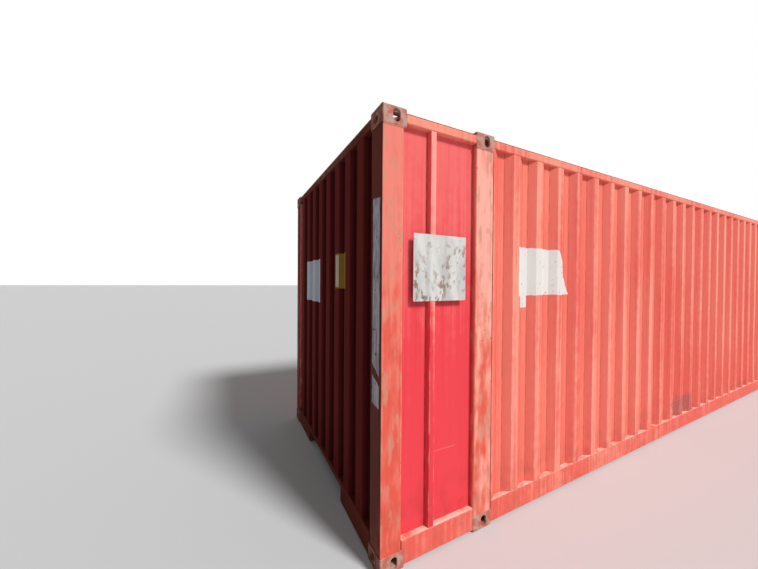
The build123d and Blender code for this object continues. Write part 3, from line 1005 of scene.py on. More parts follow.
@dataclass(frozen=True)
class BleachedFilm:
    """Calendered vinyl film, sun-bleached grey and brittle, creased where it has lifted, slit in places.

    A slit is given by its distance from the left side, its height, its width and how high it is.
    """

    film: tuple[str, str] = ("#a9a8b0", "#8a8992")
    flaked: str = "#5e3a34"
    post_in_painted_shade: str = "#4a2823"
    slits: tuple[tuple[float, float, float, float], ...] = (
        (100.0, 1874.0, 3.0, 70.0),
        (69.0, 1438.0, 5.0, 150.0),
        (92.0, 1518.0, 44.0, 3.0),
    )

    def material(self) -> Material:
        """Build the material.

        Returns:
            The material.
        """
        surface = Surface("calendered_vinyl_film_bleached")
        crease = surface.grain((24.0, 24.0, 110.0), 0.4, 0.62, 5.0, 2.9)
        colour = surface.coat(*self.film, crease)
        colour = surface.coat(colour, self.flaked, surface.grain((22.0, 22.0, 60.0), 0.64, 0.7, 6.0, 5.0))
        # The slits show the post's end face beneath in painted shade
        for across, up, *size in self.slits:
            slit = surface.box((-LENGTH / 2, across - WIDTH / 2, up), (80.0, *size), 42.0, 2.0)
            colour = surface.coat(colour, self.post_in_painted_shade, slit)
        surface.relief(crease, 0.8)
        return surface.shade(colour, surface.ease(crease, 0.0, 1.0, 0.6, 0.75), Specular_IOR_Level=0.1)


class Finishes:
    """Every material of the container, made once."""

    def __init__(self) -> None:
        """Make the paints with their marks, and the bare materials."""
        # The red of the long sides, bleached to salmon where sun and rain reach it
        red = dict(sound="#e86056", chalked="#f79c88", sunk="#f07261", grime_and_shade="#a34a3e")
        side = dict(red, chalk=0.62, rising=0.06, streaks=0.2, rust=0.1)
        # White paint rolled over the ridges, its end cut on the slant, with a drip below
        slant = ((1790 - LENGTH / 2, 1980), (1912 - LENGTH / 2, 1726))
        patch = Mark.on_side(1574, 1905, (688, 380), "#e4e0dc", 30.0, 5.0, 0.97, cut=slant)
        drip = Mark.on_side(1315, 1690, (80, 150), "#e4e0dc", 26.0, 5.0, 0.93)
        # A low knock scuffed through to the primer, and one rust spot
        scuff = Mark.on_side(4290, 262, (560, 180), "#a06c64", 240.0, 70.0, opacity=0.5)
        scrape = Mark.on_side(4290, 262, (600, 220), "#84505a", 240.0, 60.0, 0.45, opacity=0.3)
        spot = Mark.on_side(2085, 866, (34, 46), "#6a3020", 20.0, 8.0)
        self.side = Enamel("alkyd_enamel_side_sheets", **side).material()
        marks = (patch, drip, scuff, scrape, spot)
        self.side_left = Enamel("alkyd_enamel_sunny_side", **side, marks=marks).material()
        self.door = Enamel(
            "alkyd_enamel_doors", **red, chalk=0.5, wear=0.4, streaks=0.35, rust=0.25
        ).material()
        # A repaint in crimson that has kept its colour, with one scratch
        bay = ("alkyd_enamel_short_panels", "#e9424c", "#f8a496", "#ea4650", "#94262a")
        seam = Mark((530 - LENGTH / 2, 42 - WIDTH / 2, 657), (180, 20, 3), "#f0787a", 8.0, 4.0, opacity=0.6)
        self.bay = Enamel(*bay, chalk=0.4, rising=0.27, streaks=0.25, rust=0.12, marks=(seam,)).material()
        # Deep, dull red on the blank end, darkened as painted shade; its recess colour and grime colour are
        # near-black painted shade. With a blank white sheet and a two-coloured bare label
        front = ("alkyd_enamel_end_painted_shade", "#5c1f1e", "#672827", "#300306", "#2a0808")
        marks = (
            Mark.on_end(1628, 1820, (560, 436), "#bac0c9"),
            Mark.on_end(750, 1903, (240, 290), "#937630"),
            Mark.on_end(826, 1903, (70, 262), "#b9ae9e"),
        )
        self.front = Enamel(
            *front, wear=0.3, streaks=0.3, rust=0.02, gloss=(0.8, 0.9), shine=0.02, marks=marks
        ).material()
        # Thick brushed coats on the posts, blotched, and flaked to tan where they are rubbed; their returns
        # take a deeper red that is partly unfaded paint and partly painted shade
        posts = ("alkyd_enamel_posts", "#e25c4c", "#faaf9d", "#b32e2c", "#a05640")
        # Painted shade: the posts' faces on the blank end darkened to a shaded brown-red
        shade = Mark((-LENGTH / 2, 0, HEIGHT / 2), (16, WIDTH + 100, HEIGHT), "#5a241c", 0.0, 3.0)
        self.posts = Enamel(
            *posts,
            chalk=0.66,
            rising=0.2,
            blotch=0.4,
            blotch_size=(60.0, 60.0, 190.0),
            bare="#cf9078",
            wear=0.3,
            streaks=0.35,
            shine=0.1,
            marks=(shade,),
        ).material()
        # Evenly chalked rails, pale on their ledges with dust and painted highlight
        rails = ("alkyd_enamel_rails", "#e86257", "#f59882", "#e86257", "#9c5a46")
        wear = dict(wear=0.5, splash=0.25, streaks=0.15, rust=0.25, dust=0.9)
        self.rails = Enamel(*rails, chalk=0.53, rising=0.14, **wear).material()
        # Duller red on the blank end's beams and on the roof, where water stands and rusts it. The beams are
        # painted shade below the deck's top, and their grime colour is that painted shade
        dull = dict(sound="#c25a4b", chalked="#de907c", sunk="#c25a4b")
        beneath = (400, WIDTH + 100, ROOF_DECK - 4)
        # Painted shade over the blank end's beams, all but the header's top
        painted_shade_below_deck = Mark((-LENGTH / 2, 0, ROOF_DECK / 2), beneath, "#5a241c", 0.0, 2.0)
        wear = dict(chalk=0.6, wear=0.3, streaks=0.3, rust=0.35, shine=0.04, marks=(painted_shade_below_deck,))
        self.end_frame = Enamel("alkyd_enamel_end_frame", **dull, grime_and_shade="#5c241c", **wear).material()
        wear = dict(chalk=0.65, streaks=0.2, rust=0.5)
        self.roof = Enamel("alkyd_enamel_roof_sheets", **dull, grime_and_shade="#7c4a3c", **wear).material()
        self.casting = CastSteel().material()
        self.gear = GalvanisedGear().material()
        self.rubber = GasketRubber().material()
        self.plywood = FloorPlywood().material()
        self.under = WaxedUnderframe().material()
        self.plate = EnamelledPlate().material()
        self.film = BleachedFilm().material()


@dataclass(frozen=True)
class Castings:
    """Corner and inner castings: hollow boxes with an oval lock slot and oval lashing holes."""

    plate: float = 28.0
    wall: float = 14.0
    back_wall: float = 7.0
    room_radius: float = 5.0
    lock_place: Flat = (103.5, 89.5)
    lock_size: Flat = (124.0, 63.5)
    lashing_level: float = 54.0
    side_hole: Flat = (51.0, 79.5)
    end_hole: Flat = (63.5, 79.5)
    rounding: float = 7.0
    mouth: float = 5.0

    def hole(self, size: Flat, depth: float, place: Callable[[float, float, float], Spot]) -> bpy.types.Mesh:
        """Cutter for an oval hole whose mouth is rounded over.

        Args:
            size: Full size of the oval.
            depth: Wall thickness that it goes through.
            place: Where a point (along the oval's first size, along its second, depth) goes.

        Returns:
            The cutter's mesh.
        """
        cutter = Piece("cutter")
        end = min(size) / 2
        turns = [step * math.pi / 8 for step in range(5)]
        lip = [(self.mouth * (1 - math.cos(turn)), self.mouth * (1 - math.sin(turn))) for turn in turns]
        rings = []
        for level, flare in [(-1.0, self.mouth), *lip, (depth + 1.0, 0.0)]:
            ring = []
            for way in circle(28, 0.5):
                u, v = (
                    math.copysign(one / 2 - end, part) + (end + flare) * part for one, part in zip(size, way)
                )
                ring.append(cutter.vertex(place(u, v, level)))
            rings.append(ring)
        cutter.loft(rings)
        return mesh_of(cutter.mesh, "cutter")

    def shell(self, limits: Sequence[Flat], radius: float) -> bpy.types.Mesh:
        """Rounded block.

        Args:
            limits: Its three pairs of limits in millimetres.
            radius: Radius of its edges.

        Returns:
            The block's mesh.
        """
        box = bmesh.new()
        bmesh.ops.create_cube(box, size=1.0)
        for vertex in box.verts:
            vertex.co = [low + (high - low) * (part + 0.5) for (low, high), part in zip(limits, vertex.co)]
        bmesh.ops.bevel(box, geom=box.edges[:], offset=radius, segments=3, profile=0.5, affect="EDGES")
        return mesh_of(box, "shell")

    def master(self, at_corner: bool) -> bpy.types.Mesh:
        """One bottom casting drawn in from its corner, carved from a rounded block.

        Args:
            at_corner: Whether it has a lashing hole in its end face too.

        Returns:
            The casting's mesh.
        """
        length, width, height = CASTING
        room = (
            (self.wall, length - self.back_wall),
            (self.wall, width - self.wall),
            (self.plate, height - self.wall),
        )
        (t, s), low = self.lock_place, self.lashing_level
        cutters = [
            self.shell(room, self.room_radius),
            self.hole(self.lock_size, self.plate, lambda u, v, w: (t + u, s + v, w)),
            self.hole(self.side_hole, self.wall, lambda u, v, w: (t + u, w, low + v)),
        ]
        if at_corner:
            cutters.append(self.hole(self.end_hole, self.wall, lambda u, v, w: (w, s + u, low + v)))
        body = placed("casting_blank", self.shell([(0.0, size) for size in CASTING], self.rounding))
        tools = [placed("cutter", data) for data in cutters]
        for tool in tools:
            cut = body.modifiers.new("cut", "BOOLEAN")
            cut.object, cut.operation, cut.solver = tool, "DIFFERENCE", "EXACT"
        graph = bpy.context.evaluated_depsgraph_get()
        carved = bpy.data.meshes.new_from_object(body.evaluated_get(graph))
        for thing in [body, *tools]:
            bpy.data.objects.remove(thing)
        return carved

    def build(self, finishes: Finishes) -> None:
        """Place the sixteen castings.

        Args:
            finishes: Every material.
        """
        for kind, inset in (("corner", 0.0), ("inner", INNER_POST[0])):
            master = self.master(kind == "corner")
            for level, foot, way in (("bottom", 0.0, 1), ("top", HEIGHT, -1)):
                piece = Piece(f"{level}_{kind}_castings_rounded")
                for corner in Corner:
                    piece.copy_in(master, lambda co: corner.at(co.x + inset, co.y, foot + way * co.z))
                piece.finish(finishes.casting, "casting_steel", f"{level}_{kind}_castings")


@dataclass(frozen=True)
class PostsAndRails:
    """Posts and rails: folded plates and square tubes welded between the castings."""

    plate: float = 6.0
    bend: float = 13.0
    jamb_bend: float = 8.0
    setback: float = 3.0
    front_edge: float = 153.0
    post_end: float = 160.0
    corner_reach: float = 200.0
    lip: float = 49.0
    rear_setback: float = 45.0
    jamb_edge: float = 28.0
    jamb_face: float = 102.0
    jamb_return: float = 150.0
    tunnel: Flat = (704.5, 1733.5)
    tunnel_roof: float = 136.5
    tube_size: float = 60.0
    tube_radius: float = 8.0
    cap: float = 4.0
    rail_plate: float = 4.5
    rail_bend: float = 7.0
    clearance: float = 16.0
    rail_flanges: Flat = (51.0, 33.0)
    sill_flange: float = 71.0
    bead_radius: float = 2.1
    bead_pitch: float = 4.0
    bead_inset: float = 2.76
    bead_rise: float = 1.5

    def posts(self, finish: Material) -> None:
        """Front, inner and rear posts.

        Args:
            finish: Their paint.
        """
        near, edge, far, lip, back = self.setback, self.front_edge, self.post_end, self.lip, self.rear_setback
        jamb = [(self.jamb_return, lip), (self.jamb_face, lip), (self.jamb_face, self.jamb_edge)]
        jamb += [(back, self.jamb_edge), (back, near), (far, near), (far, lip)]
        low, high = INNER_POST
        front = bent([(lip, edge), (near, edge), (near, near), (far, near), (far, lip)], self.bend)
        inner = bent([(low, lip), (low, near), (high, near), (high, lip)], self.bend)
        rear = bent(jamb, self.jamb_bend)
        for index, (corner, other, side) in enumerate(SIDES):
            for name, stations, spot, share in (
                (f"front_post_{side}", front, corner, 1.0),
                (f"inner_post_front_{side}", inner, corner, 0.6),
                (f"inner_post_rear_{side}", inner, other, 0.6),
                (f"rear_post_{side}", rear, other, 0.3),
            ):
                piece = Piece(f"{name}_folded")
                seed = index * 7.0 + len(name)
                reach = self.corner_reach
                piece.sheet(
                    stations,
                    self.plate,
                    levels(POST_LOW, POST_HIGH, 95.0),
                    spot,
                    Run.UP,
                    depth_of=lambda a, b: max(0.0, (min(a, b) if a < reach else b) - near) / (lip - near),
                    dent=lambda a, level: share * (0.9 + ripple(a, level, 260, seed)),
                )
                piece.finish(finish, "frame_steel", name)

    def channel(self, flange: float, foot: float, lower: float = 0.0) -> list[Station]:
        """Section of a folded rail: its upper flange, its web down to a level, and any lower flange."""
        line = [(flange, BASE_TOP), (self.setback, BASE_TOP), (self.setback, foot), (lower, foot)]
        return bent(line if lower else line[:3], self.rail_bend)

    def tube(self, piece: Piece, corner: Corner, run: Run, span: Flat, longest: float) -> None:
        """Add a square tube under the roof's edge."""
        outline = rectangle((self.setback, self.setback + self.tube_size), (RAIL_LOW, ROOF_DECK))
        piece.prism(outline, self.tube_radius, span, corner, run, edge=0.5, longest=longest, steps=3)

    def side_rails(self, finish: Material) -> None:
        """Top tubes and bottom channels of both sides, with a short bridge over each corner casting.

        Args:
            finish: Their paint.
        """
        upper, lower = self.rail_flanges
        channel = self.channel(upper, self.clearance, lower)
        bridge = self.channel(upper, POST_LOW)
        bridges = ((self.post_end, CASTING[0]), (LENGTH - CASTING[0], LENGTH - self.post_end))
        for corner, _, side in SIDES:
            top = Piece(f"top_side_rail_{side}_tube")
            low = Piece(f"bottom_side_rail_{side}_folded")
            for span in BAYS:
                self.tube(top, corner, Run.ALONG, span, 400.0)
                low.sheet(
                    channel,
                    self.rail_plate,
                    levels(*span, 130.0),
                    corner,
                    Run.ALONG,
                    dent=lambda a, level: 0.5 + 0.6 * ripple(a, level, 330, 3.0),
                )
            for span in bridges:
                low.sheet(bridge, self.rail_plate, span, corner, Run.ALONG)
            top.finish(finish, "frame_steel", f"top_side_rail_{side}")
            low.finish(finish, "frame_steel", f"bottom_side_rail_{side}")

    def end_beams(self, finish: Material) -> None:
        """Header and sill of the blank end, the sill cut away over the gooseneck tunnel.

        Args:
            finish: Their paint.
        """
        corner, span = Corner.FRONT_LEFT, (CASTING[1], WIDTH - CASTING[1])
        header = Piece("front_header_tube")
        self.tube(header, corner, Run.OVER, span, 300.0)
        header.block(corner, (self.setback, CASTING[0]), span, (ROOF_DECK, ROOF_DECK + self.cap), 1.0)
        header.finish(finish, "frame_steel", "front_header")
        sill = Piece("front_sill_folded")
        flange = self.sill_flange
        whole = self.channel(flange, self.clearance, flange)
        over_casting = self.channel(flange, POST_LOW)
        for stations, start, end in (
            (whole, span[0], self.tunnel[0]),
            (self.channel(flange, self.tunnel_roof), *self.tunnel),
            (whole, self.tunnel[1], span[1]),
            (over_casting, self.front_edge, span[0]),
            (over_casting, span[1], WIDTH - self.front_edge),
        ):
            sill.sheet(stations, self.rail_plate, levels(start, end, 130.0), corner, Run.OVER)
        sill.finish(finish, "frame_steel", "front_sill")

    def welds(self, finish: Material) -> None:
        """Weld beads round the ends of the posts, one straight run on the blank end, rippled on the sides.

        Args:
            finish: Their paint.
        """
        inset, pitch = self.bead_inset, self.bead_pitch
        front = [(inset, 150.0), (inset, 12.0), *[(t, inset) for t in levels(12.0, 157.0, pitch)]]
        rear = [(t, inset) for t in levels(52.0, 157.0, pitch)]
        inner = [(t, inset) for t in levels(INNER_POST[0] + 10, INNER_POST[1] - 10, pitch)]
        beads = Piece("post_weld_beads")
        for index, corner in enumerate(Corner):
            outer = front if corner in (Corner.FRONT_LEFT, Corner.FRONT_RIGHT) else rear
            for level in (POST_LOW + self.bead_rise, POST_HIGH - self.bead_rise):
                for places, seed in ((outer, 0.5), (inner, 5.5)):
                    beads.bead([corner.at(t, s, level) for t, s in places], self.bead_radius, index + seed)
        beads.finish(finish, "frame_steel", angle=60.0)

    def build(self, finishes: Finishes) -> None:
        """Posts, rails, end beams and their welds.

        Args:
            finishes: Every material.
        """
        self.posts(finishes.posts)
        self.side_rails(finishes.rails)
        self.end_beams(finishes.end_frame)
        self.welds(finishes.posts)


@dataclass(frozen=True)
class Knock:
    """Smooth dent in a wall, by its place along the wall, its height, its reach and its depth."""

    place: float
    height: float
    reach: float
    depth: float

    def at(self, a: float, level: float) -> float:
        """Depth of the dent at a place along the wall and a level."""
        along, up = (a - self.place) / self.reach, (level - self.height) / self.reach
        return self.depth * math.exp(-(along**2) - up**2)


@dataclass(frozen=True)
class SideWalls:
    """Long trapezoid-corrugated walls, and the short ribbed panels between corner posts and inner posts."""

    outer: float = 5.4
    depth: float = 36.0
    sheet: float = 1.6
    recess: float = 70.0
    slope: float = 68.0
    ridge: float = 72.0
    end_flat: float = 12.0
    bend: float = 6.0
    bay_start: float = 160.0
    bay_bend: float = 5.0
    rib: float = 390.5
    rib_width: float = 43.0
    rib_slope: float = 10.0
    knocks: tuple[Knock, ...] = (
        Knock(4330.0, 320.0, 210.0, 4.5),
        Knock(2950.0, 1420.0, 260.0, 2.5),
        Knock(7100.0, 900.0, 300.0, 4.0),
        Knock(9600.0, 1900.0, 240.0, 3.0),
        Knock(11800.0, 620.0, 280.0, 5.0),
    )
    buckled: Knock = Knock(3850.0, 520.0, 620.0, 7.0)

    def dent(self, a: float, level: float) -> float:
        """Depth of the wall's unevenness and knocks.

        Args:
            a: Place along the wall.
            level: Height over the base.

        Returns:
            The depth.
        """
        depth = 1.1 * ripple(a, level, 700, 1.0) + 0.5 * ripple(a, level, 220, 9.0)
        depth += sum(knock.at(a, level) for knock in self.knocks)
        depth += self.buckled.at(a, level) * ripple(a, level, 240, 12.0)
        return max(depth, -1.5)

    def build(self, finishes: Finishes) -> None:
        """Both long walls and all four short panels.

        Args:
            finishes: Every material.
        """
        sunk = self.outer + self.depth
        wave = self.recess + 2 * self.slope
        middles = fitted(BAYS[1], self.end_flat, wave, self.ridge)
        line = corrugated(BAYS[1], middles, (wave / 2, self.outer), (self.recess / 2, sunk))
        for corner, _, side in SIDES:
            wall = Piece(f"side_wall_{side}_pressed")
            wall.sheet(
                bent(line, self.bend, shoulder=6.0),
                self.sheet,
                levels(BASE_TOP, RAIL_LOW, 110.0),
                corner,
                Run.UP,
                depth_of=lambda a, b: (b - self.outer) / self.depth,
                dent=self.dent,
            )
            finish = finishes.side_left if side == "left" else finishes.side
            wall.finish(finish, "corrugated_wall", f"side_wall_{side}")
        half = self.rib_width / 2
        ribbed = corrugated(BAYS[0], [self.rib], (half + self.rib_slope, sunk), (half, self.outer))
        beside_casting = [(self.bay_start, sunk), (CASTING[0], sunk)]
        for corner in Corner:
            name = f"bay_panel_{corner.name.lower()}"
            panel = Piece(f"{name}_pressed")
            for line, high in ((ribbed, RAIL_LOW), (beside_casting, POST_HIGH)):
                panel.sheet(
                    bent(line, self.bay_bend, longest=70.0, shoulder=4.0),
                    self.sheet,
                    levels(BASE_TOP, high, 110.0),
                    corner,
                    Run.UP,
                    depth_of=lambda a, b: (b - self.outer) / self.depth,
                    dent=lambda a, level: 1.2 * ripple(a, level, 240, 4.0),
                )
            panel.finish(finishes.bay, "corrugated_wall", name)


@dataclass(frozen=True)
class FrontWall:
    """Blank end wall, pressed in broad upright ridges."""

    face: float = 5.0
    depth: float = 45.6
    sheet: float = 2.0
    ridge: float = 110.0
    slope: float = 18.0
    pitch: float = 250.0
    edge: float = 153.0
    bend: float = 9.0
    count: int = 8

    def build(self, finishes: Finishes) -> None:
        """The wall, notched round the top castings.

        Args:
            finishes: Every material.
        """
        sunk = self.face + self.depth
        near, far = CASTING[1], WIDTH - CASTING[1]
        middles = [WIDTH / 2 + (index - (self.count - 1) / 2) * self.pitch for index in range(self.count)]
        half = self.ridge / 2
        wall = Piece("front_wall_pressed")
        for line, high in (
            (corrugated((near, far), middles, (half + self.slope, sunk), (half, self.face)), RAIL_LOW),
            ([(self.edge, sunk), (near, sunk)], POST_HIGH),
            ([(far, sunk), (WIDTH - self.edge, sunk)], POST_HIGH),
        ):
            wall.sheet(
                bent(from_above(line), self.bend, longest=60.0),
                self.sheet,
                levels(BASE_TOP, high, 110.0),
                Corner.FRONT_LEFT,
                Run.UP,
                depth_of=lambda a, b: (a - self.face) / self.depth,
                dent=lambda a, level: ripple(level, a * 40, 420, 2.0),
            )
        wall.finish(finishes.front, "front_wall_steel", "front_wall")


@dataclass(frozen=True)
class Roof:
    """Roof sheets with closed pressed ribs across them."""

    sheet: float = 2.0
    rise: float = 20.0
    rib: float = 118.0
    slope: float = 13.5
    end_slope: float = 29.7
    pitch: float = 209.0
    margin: float = 110.0
    edge: float = 3.0
    bend: float = 8.0

    def swell(self, level: float) -> float:
        """How far the ribs have risen.

        Args:
            level: Distance from the left side.

        Returns:
            Their share of the full rise.
        """
        inward = min(level, WIDTH - level) - self.edge - self.margin
        part = min(1.0, max(0.0, inward / self.end_slope))
        return part * part * (3 - 2 * part)

    def build(self, finishes: Finishes) -> None:
        """The three lengths of roof between the castings.

        Args:
            finishes: Every material.
        """
        low = ROOF_DECK + self.sheet
        start = self.edge + self.margin
        across = [self.edge, start - 30] + [start + self.end_slope * part / 5 for part in range(6)]
        across += levels(across[-1] + 60, WIDTH / 2, 180.0)
        across += [WIDTH - level for level in reversed(across[:-1])]
        roof = Piece("roof_sheets_pressed")
        for span in BAYS:
            length = span[1] - span[0]
            count = int((length - self.rib) // self.pitch) + 1
            first = span[0] + (length - (count - 1) * self.pitch) / 2
            middles = [first + index * self.pitch for index in range(count)]
            half = self.rib / 2
            line = corrugated(span, middles, (half, low), (half - self.slope, low + self.rise))
            roof.sheet(
                bent(line[::-1], self.bend, shoulder=5.0),
                self.sheet,
                across,
                Corner.FRONT_LEFT,
                Run.OVER,
                depth_of=lambda a, b: 1 - (b - low) / self.rise,
                dent=lambda a, level: 0.6 + 0.7 * ripple(a, level, 380, 5.0),
                warp=lambda a, b, level: (a, b if b <= low else low + (b - low) * self.swell(level)),
            )
        roof.finish(finishes.roof, "roof_steel", "roof_sheets")


@dataclass(frozen=True)
class Doors:
    """Closed double doors: leaf frames, pressed panels, hinges and locking gear."""

    face: float = 48.0
    thickness: float = 50.0
    outer_edge: float = 38.0
    inner_edge: float = 1214.0
    stile: float = 100.0
    rail: float = 150.0
    rail_plate: float = 3.2
    tube_radius: float = 6.0
    heights: Flat = (128.0, 2768.0)
    sheet: float = 2.0
    bend: float = 8.0
    depth: float = 36.0
    recess: float = 72.0
    slope: float = 36.0
    ridge: float = 107.0
    end_flat: float = 165.0
    bar_from_end: float = 26.0
    bar_radius: float = 17.0
    bars: Flat = (220.5, 1031.5)
    bar_heights: Flat = (72.0, 2824.0)
    cam: Spot = (64.0, 30.0, 26.0)
    cam_radius: float = 5.0
    bracket_levels: tuple[float, ...] = (178.0, 1060.0, 1840.0, 2668.0)
    bracket: Flat = (50.0, 28.0)
    bracket_plate: float = 4.0
    bracket_gap: float = 1.3
    bracket_bolt: float = 7.0
    hinges: int = 4
    hinge_levels: Flat = (388.0, 2508.0)
    pin: Flat = (26.0, 25.0)
    pin_radius: float = 8.0
    pin_heads: Flat = (55.3, 61.0)
    pin_dome: float = 4.0
    strap_plate: float = 10.0
    strap_bolts: Flat = (95.0, 140.0)
    strap_rise: float = 24.0
    strap_bolt: float = 8.0

    def leaf(self, corner: Corner, side: str, finish: Material) -> None:
        """Frame and panel of one leaf.

        Args:
            corner: Corner that it hangs at.
            side: Name of its side.
            finish: Its paint.
        """
        low, high = self.heights
        inner = (self.outer_edge + self.stile, self.inner_edge - self.stile)
        face, back = self.face, self.face + self.thickness
        tubes = Piece(f"door_frame_{side}_tubes")
        for stile in ((self.outer_edge, inner[0]), (inner[1], self.inner_edge)):
            outline = rectangle((face, back), stile)
            tubes.prism(outline, self.tube_radius, (low, high), corner, Run.UP, longest=220.0, steps=3)
        for start, end in ((low, low + self.rail), (high - self.rail, high)):
            rail = bent([(back, end), (face, end), (face, start), (back, start)], self.tube_radius)
            tubes.sheet(rail, self.rail_plate, levels(*inner, 160.0), corner, Run.OVER)
        tubes.finish(finish, "door_steel", f"door_frame_{side}")
        wave = self.recess + 2 * self.slope
        middles = fitted(inner, self.end_flat, wave, self.ridge)
        line = corrugated(inner, middles, (wave / 2, face), (self.recess / 2, face + self.depth))
        panel = Piece(f"door_panel_{side}_pressed")
        panel.sheet(
            bent(from_above(line), self.bend, longest=70.0),
            self.sheet,
            levels(low + self.rail, high - self.rail, 120.0),
            corner,
            Run.UP,
            depth_of=lambda a, b: (a - self.face) / self.depth,
            dent=lambda a, level: 0.8 + 0.8 * ripple(level, a, 300, 6.0),
        )
        panel.finish(finish, "door_steel", f"door_panel_{side}")

    def locking_bars(self, corner: Corner, bars: Piece, fixings: Piece) -> None:
        """Round bars of one leaf with their cams, and the bolts of their brackets.

        Args:
            corner: Corner that the leaf hangs at.
            bars: Piece that takes the bars and cams.
            fixings: Piece that takes the bolts.
        """
        width, height, thick = self.cam
        low, high = self.bar_heights
        inward = (self.bar_from_end - thick / 2, self.bar_from_end + thick / 2)
        beside = self.bar_radius + self.bracket[1] / 2 + self.bracket_gap
        for across in self.bars:
            centre = (self.bar_from_end, across)
            bars.rod(corner, centre, self.bar_radius, (low + height, high - height), sides=28)
            for level in (low, high - height):
                limits = ((across - width / 2, across + width / 2), (level, level + height))
                bars.block(corner, inward, *limits, self.cam_radius)
            for level in self.bracket_levels:
                for way in (-1, 1):
                    place = (across + way * beside, level + self.bracket[0] / 2)
                    fixings.bolt(corner, place, self.face - self.bracket_plate, self.bracket_bolt)

    def hinge_fixings(self, corner: Corner, fixings: Piece) -> None:
        """Pin heads and strap bolts of one leaf's hinges.

        Args:
            corner: Corner that the leaf hangs at.
            fixings: Piece that takes them.
        """
        low, high = self.hinge_levels
        start, end = self.pin_heads
        for index in range(self.hinges):
            level = low + (high - low) * index / (self.hinges - 1)
            fixings.rod(corner, self.pin, self.pin_radius, (level + start, level + end), dome=self.pin_dome)
            fixings.rod(corner, self.pin, self.pin_radius, (level - end, level - start))
            for across in self.strap_bolts:
                for rise in (-self.strap_rise, self.strap_rise):
                    place = (across, level + rise)
                    fixings.bolt(corner, place, self.face - self.strap_plate, self.strap_bolt)

    def build(self, finishes: Finishes) -> None:
        """Both leaves and their gear.

        Args:
            finishes: Every material.
        """
        leaves = [(corner, side) for _, corner, side in SIDES]
        for corner, side in leaves:
            self.leaf(corner, side, finishes.door)
        bars = Piece("locking_bars_turned")
        fixings = Piece("door_gear_fixings")
        for corner, _ in leaves:
            self.locking_bars(corner, bars, fixings)
            self.hinge_fixings(corner, fixings)
        bars.finish(finishes.gear, "lock_gear", "locking_bars")
        fixings.finish(finishes.gear, "lock_gear")


@dataclass(frozen=True)
class PlateAndFilm:
    """Bare plate on the short panel's rib, and the peeling film on the near post.

    Each torn part of the film has its lower and its upper edge, by the heights at its two ends.
    """

    plate_across: Flat = (3.4, 5.4)
    plate_edge: float = 0.5
    plate_radius: float = 9.0
    plate_span: Flat = (234.0, 671.0)
    plate_heights: Flat = (1690.0, 2130.0)
    film_parts: tuple[tuple[Flat, Flat], ...] = (
        ((1232.0, 1294.0), (2330.0, 2340.0)),
        ((1033.0, 1046.0), (1176.0, 1228.0)),
    )
    film_across: Flat = (22.0, 118.0)
    film_face: float = 2.3
    film_sheet: float = 0.5
    film_lift: float = 1.1
    film_grid: tuple[int, int] = (10, 44)

    def plate(self, finish: Material) -> None:
        """Thin plate with rounded corners and an eased front edge.

        Args:
            finish: Its enamel.
        """
        piece = Piece("rib_plate")
        outline = rectangle(self.plate_span, self.plate_heights)
        stations = bent(outline, self.plate_radius, closed=True, steps=4)
        front, back = self.plate_across
        rings = []
        for across, inset in ((back, 0.0), (front + 0.4, 0.0), (front, self.plate_edge)):
            places = [station.aside(inset) for station in stations]
            rings.append([piece.vertex(Corner.FRONT_LEFT.at(a, across, b), 1.0) for a, b in places])
        piece.loft(rings)
        piece.finish(finish, "corrugated_wall")

    def film_place(self, part: int, share: float, rise: float) -> Spot:
        """Place of a point on the film's face, its edges ragged and lifting.

        Args:
            part: Number of the torn part.
            share: How far across it, from 0 to 1.
            rise: How far up it, from 0 to 1.

        Returns:
            The distances in from the end and from the side, and the height.
        """
        low, high = self.film_parts[part]
        bottom = low[0] + (low[1] - low[0]) * share + 14 * ripple(share * 300, 0, 34, 2.0 + part)
        top = high[0] + (high[1] - high[0]) * share + 12 * ripple(share * 300, 0, 40, 6.0 + part)
        up = bottom + (top - bottom) * rise
        left = self.film_across[0] + 4 * ripple(up, 0, 60, 1.0)
        right = self.film_across[1] + 6 * ripple(up, 0, 45, 3.0)
        edge = min(share, 1 - share, rise * 4, (1 - rise) * 4)
        lift = self.film_lift * max(0.0, 1 - edge / 0.14) * (0.5 + 0.5 * ripple(up, share * 90, 55, 8.0))
        return (max(0.4, self.film_face - lift), left + (right - left) * share, up)

    def film(self, finish: Material) -> None:
        """Film stuck to the post's end face, torn in two.

        Args:
            finish: Its vinyl.
        """
        piece = Piece("peeling_film")
        columns, rows = self.film_grid
        rim = [(0, column) for column in range(columns)] + [(row, columns) for row in range(rows)]
        rim += [(rows, column) for column in range(columns, 0, -1)] + [(row, 0) for row in range(rows, 0, -1)]
        for part in range(len(self.film_parts)):
            skins = []
            for offset in (0.0, self.film_sheet):
                skin = {}
                for row in range(rows + 1):
                    for column in range(columns + 1):
                        t, s, z = self.film_place(part, column / columns, row / rows)
                        skin[row, column] = piece.vertex(Corner.FRONT_LEFT.at(t + offset, s, z))
                skins.append(skin)
            for row in range(rows):
                for column in range(columns):
                    corners = ((row, column), (row, column + 1), (row + 1, column + 1), (row + 1, column))
                    for skin in skins:
                        piece.mesh.faces.new([skin[place] for place in corners])
            face, back = skins
            for this, after in zip(rim, rim[1:] + rim[:1]):
                piece.mesh.faces.new((face[this], face[after], back[after], back[this]))
        piece.finish(finish, "frame_steel")

    def build(self, finishes: Finishes) -> None:
        """The plate, then the film."""
        self.plate(finishes.plate)
        self.film(finishes.film)


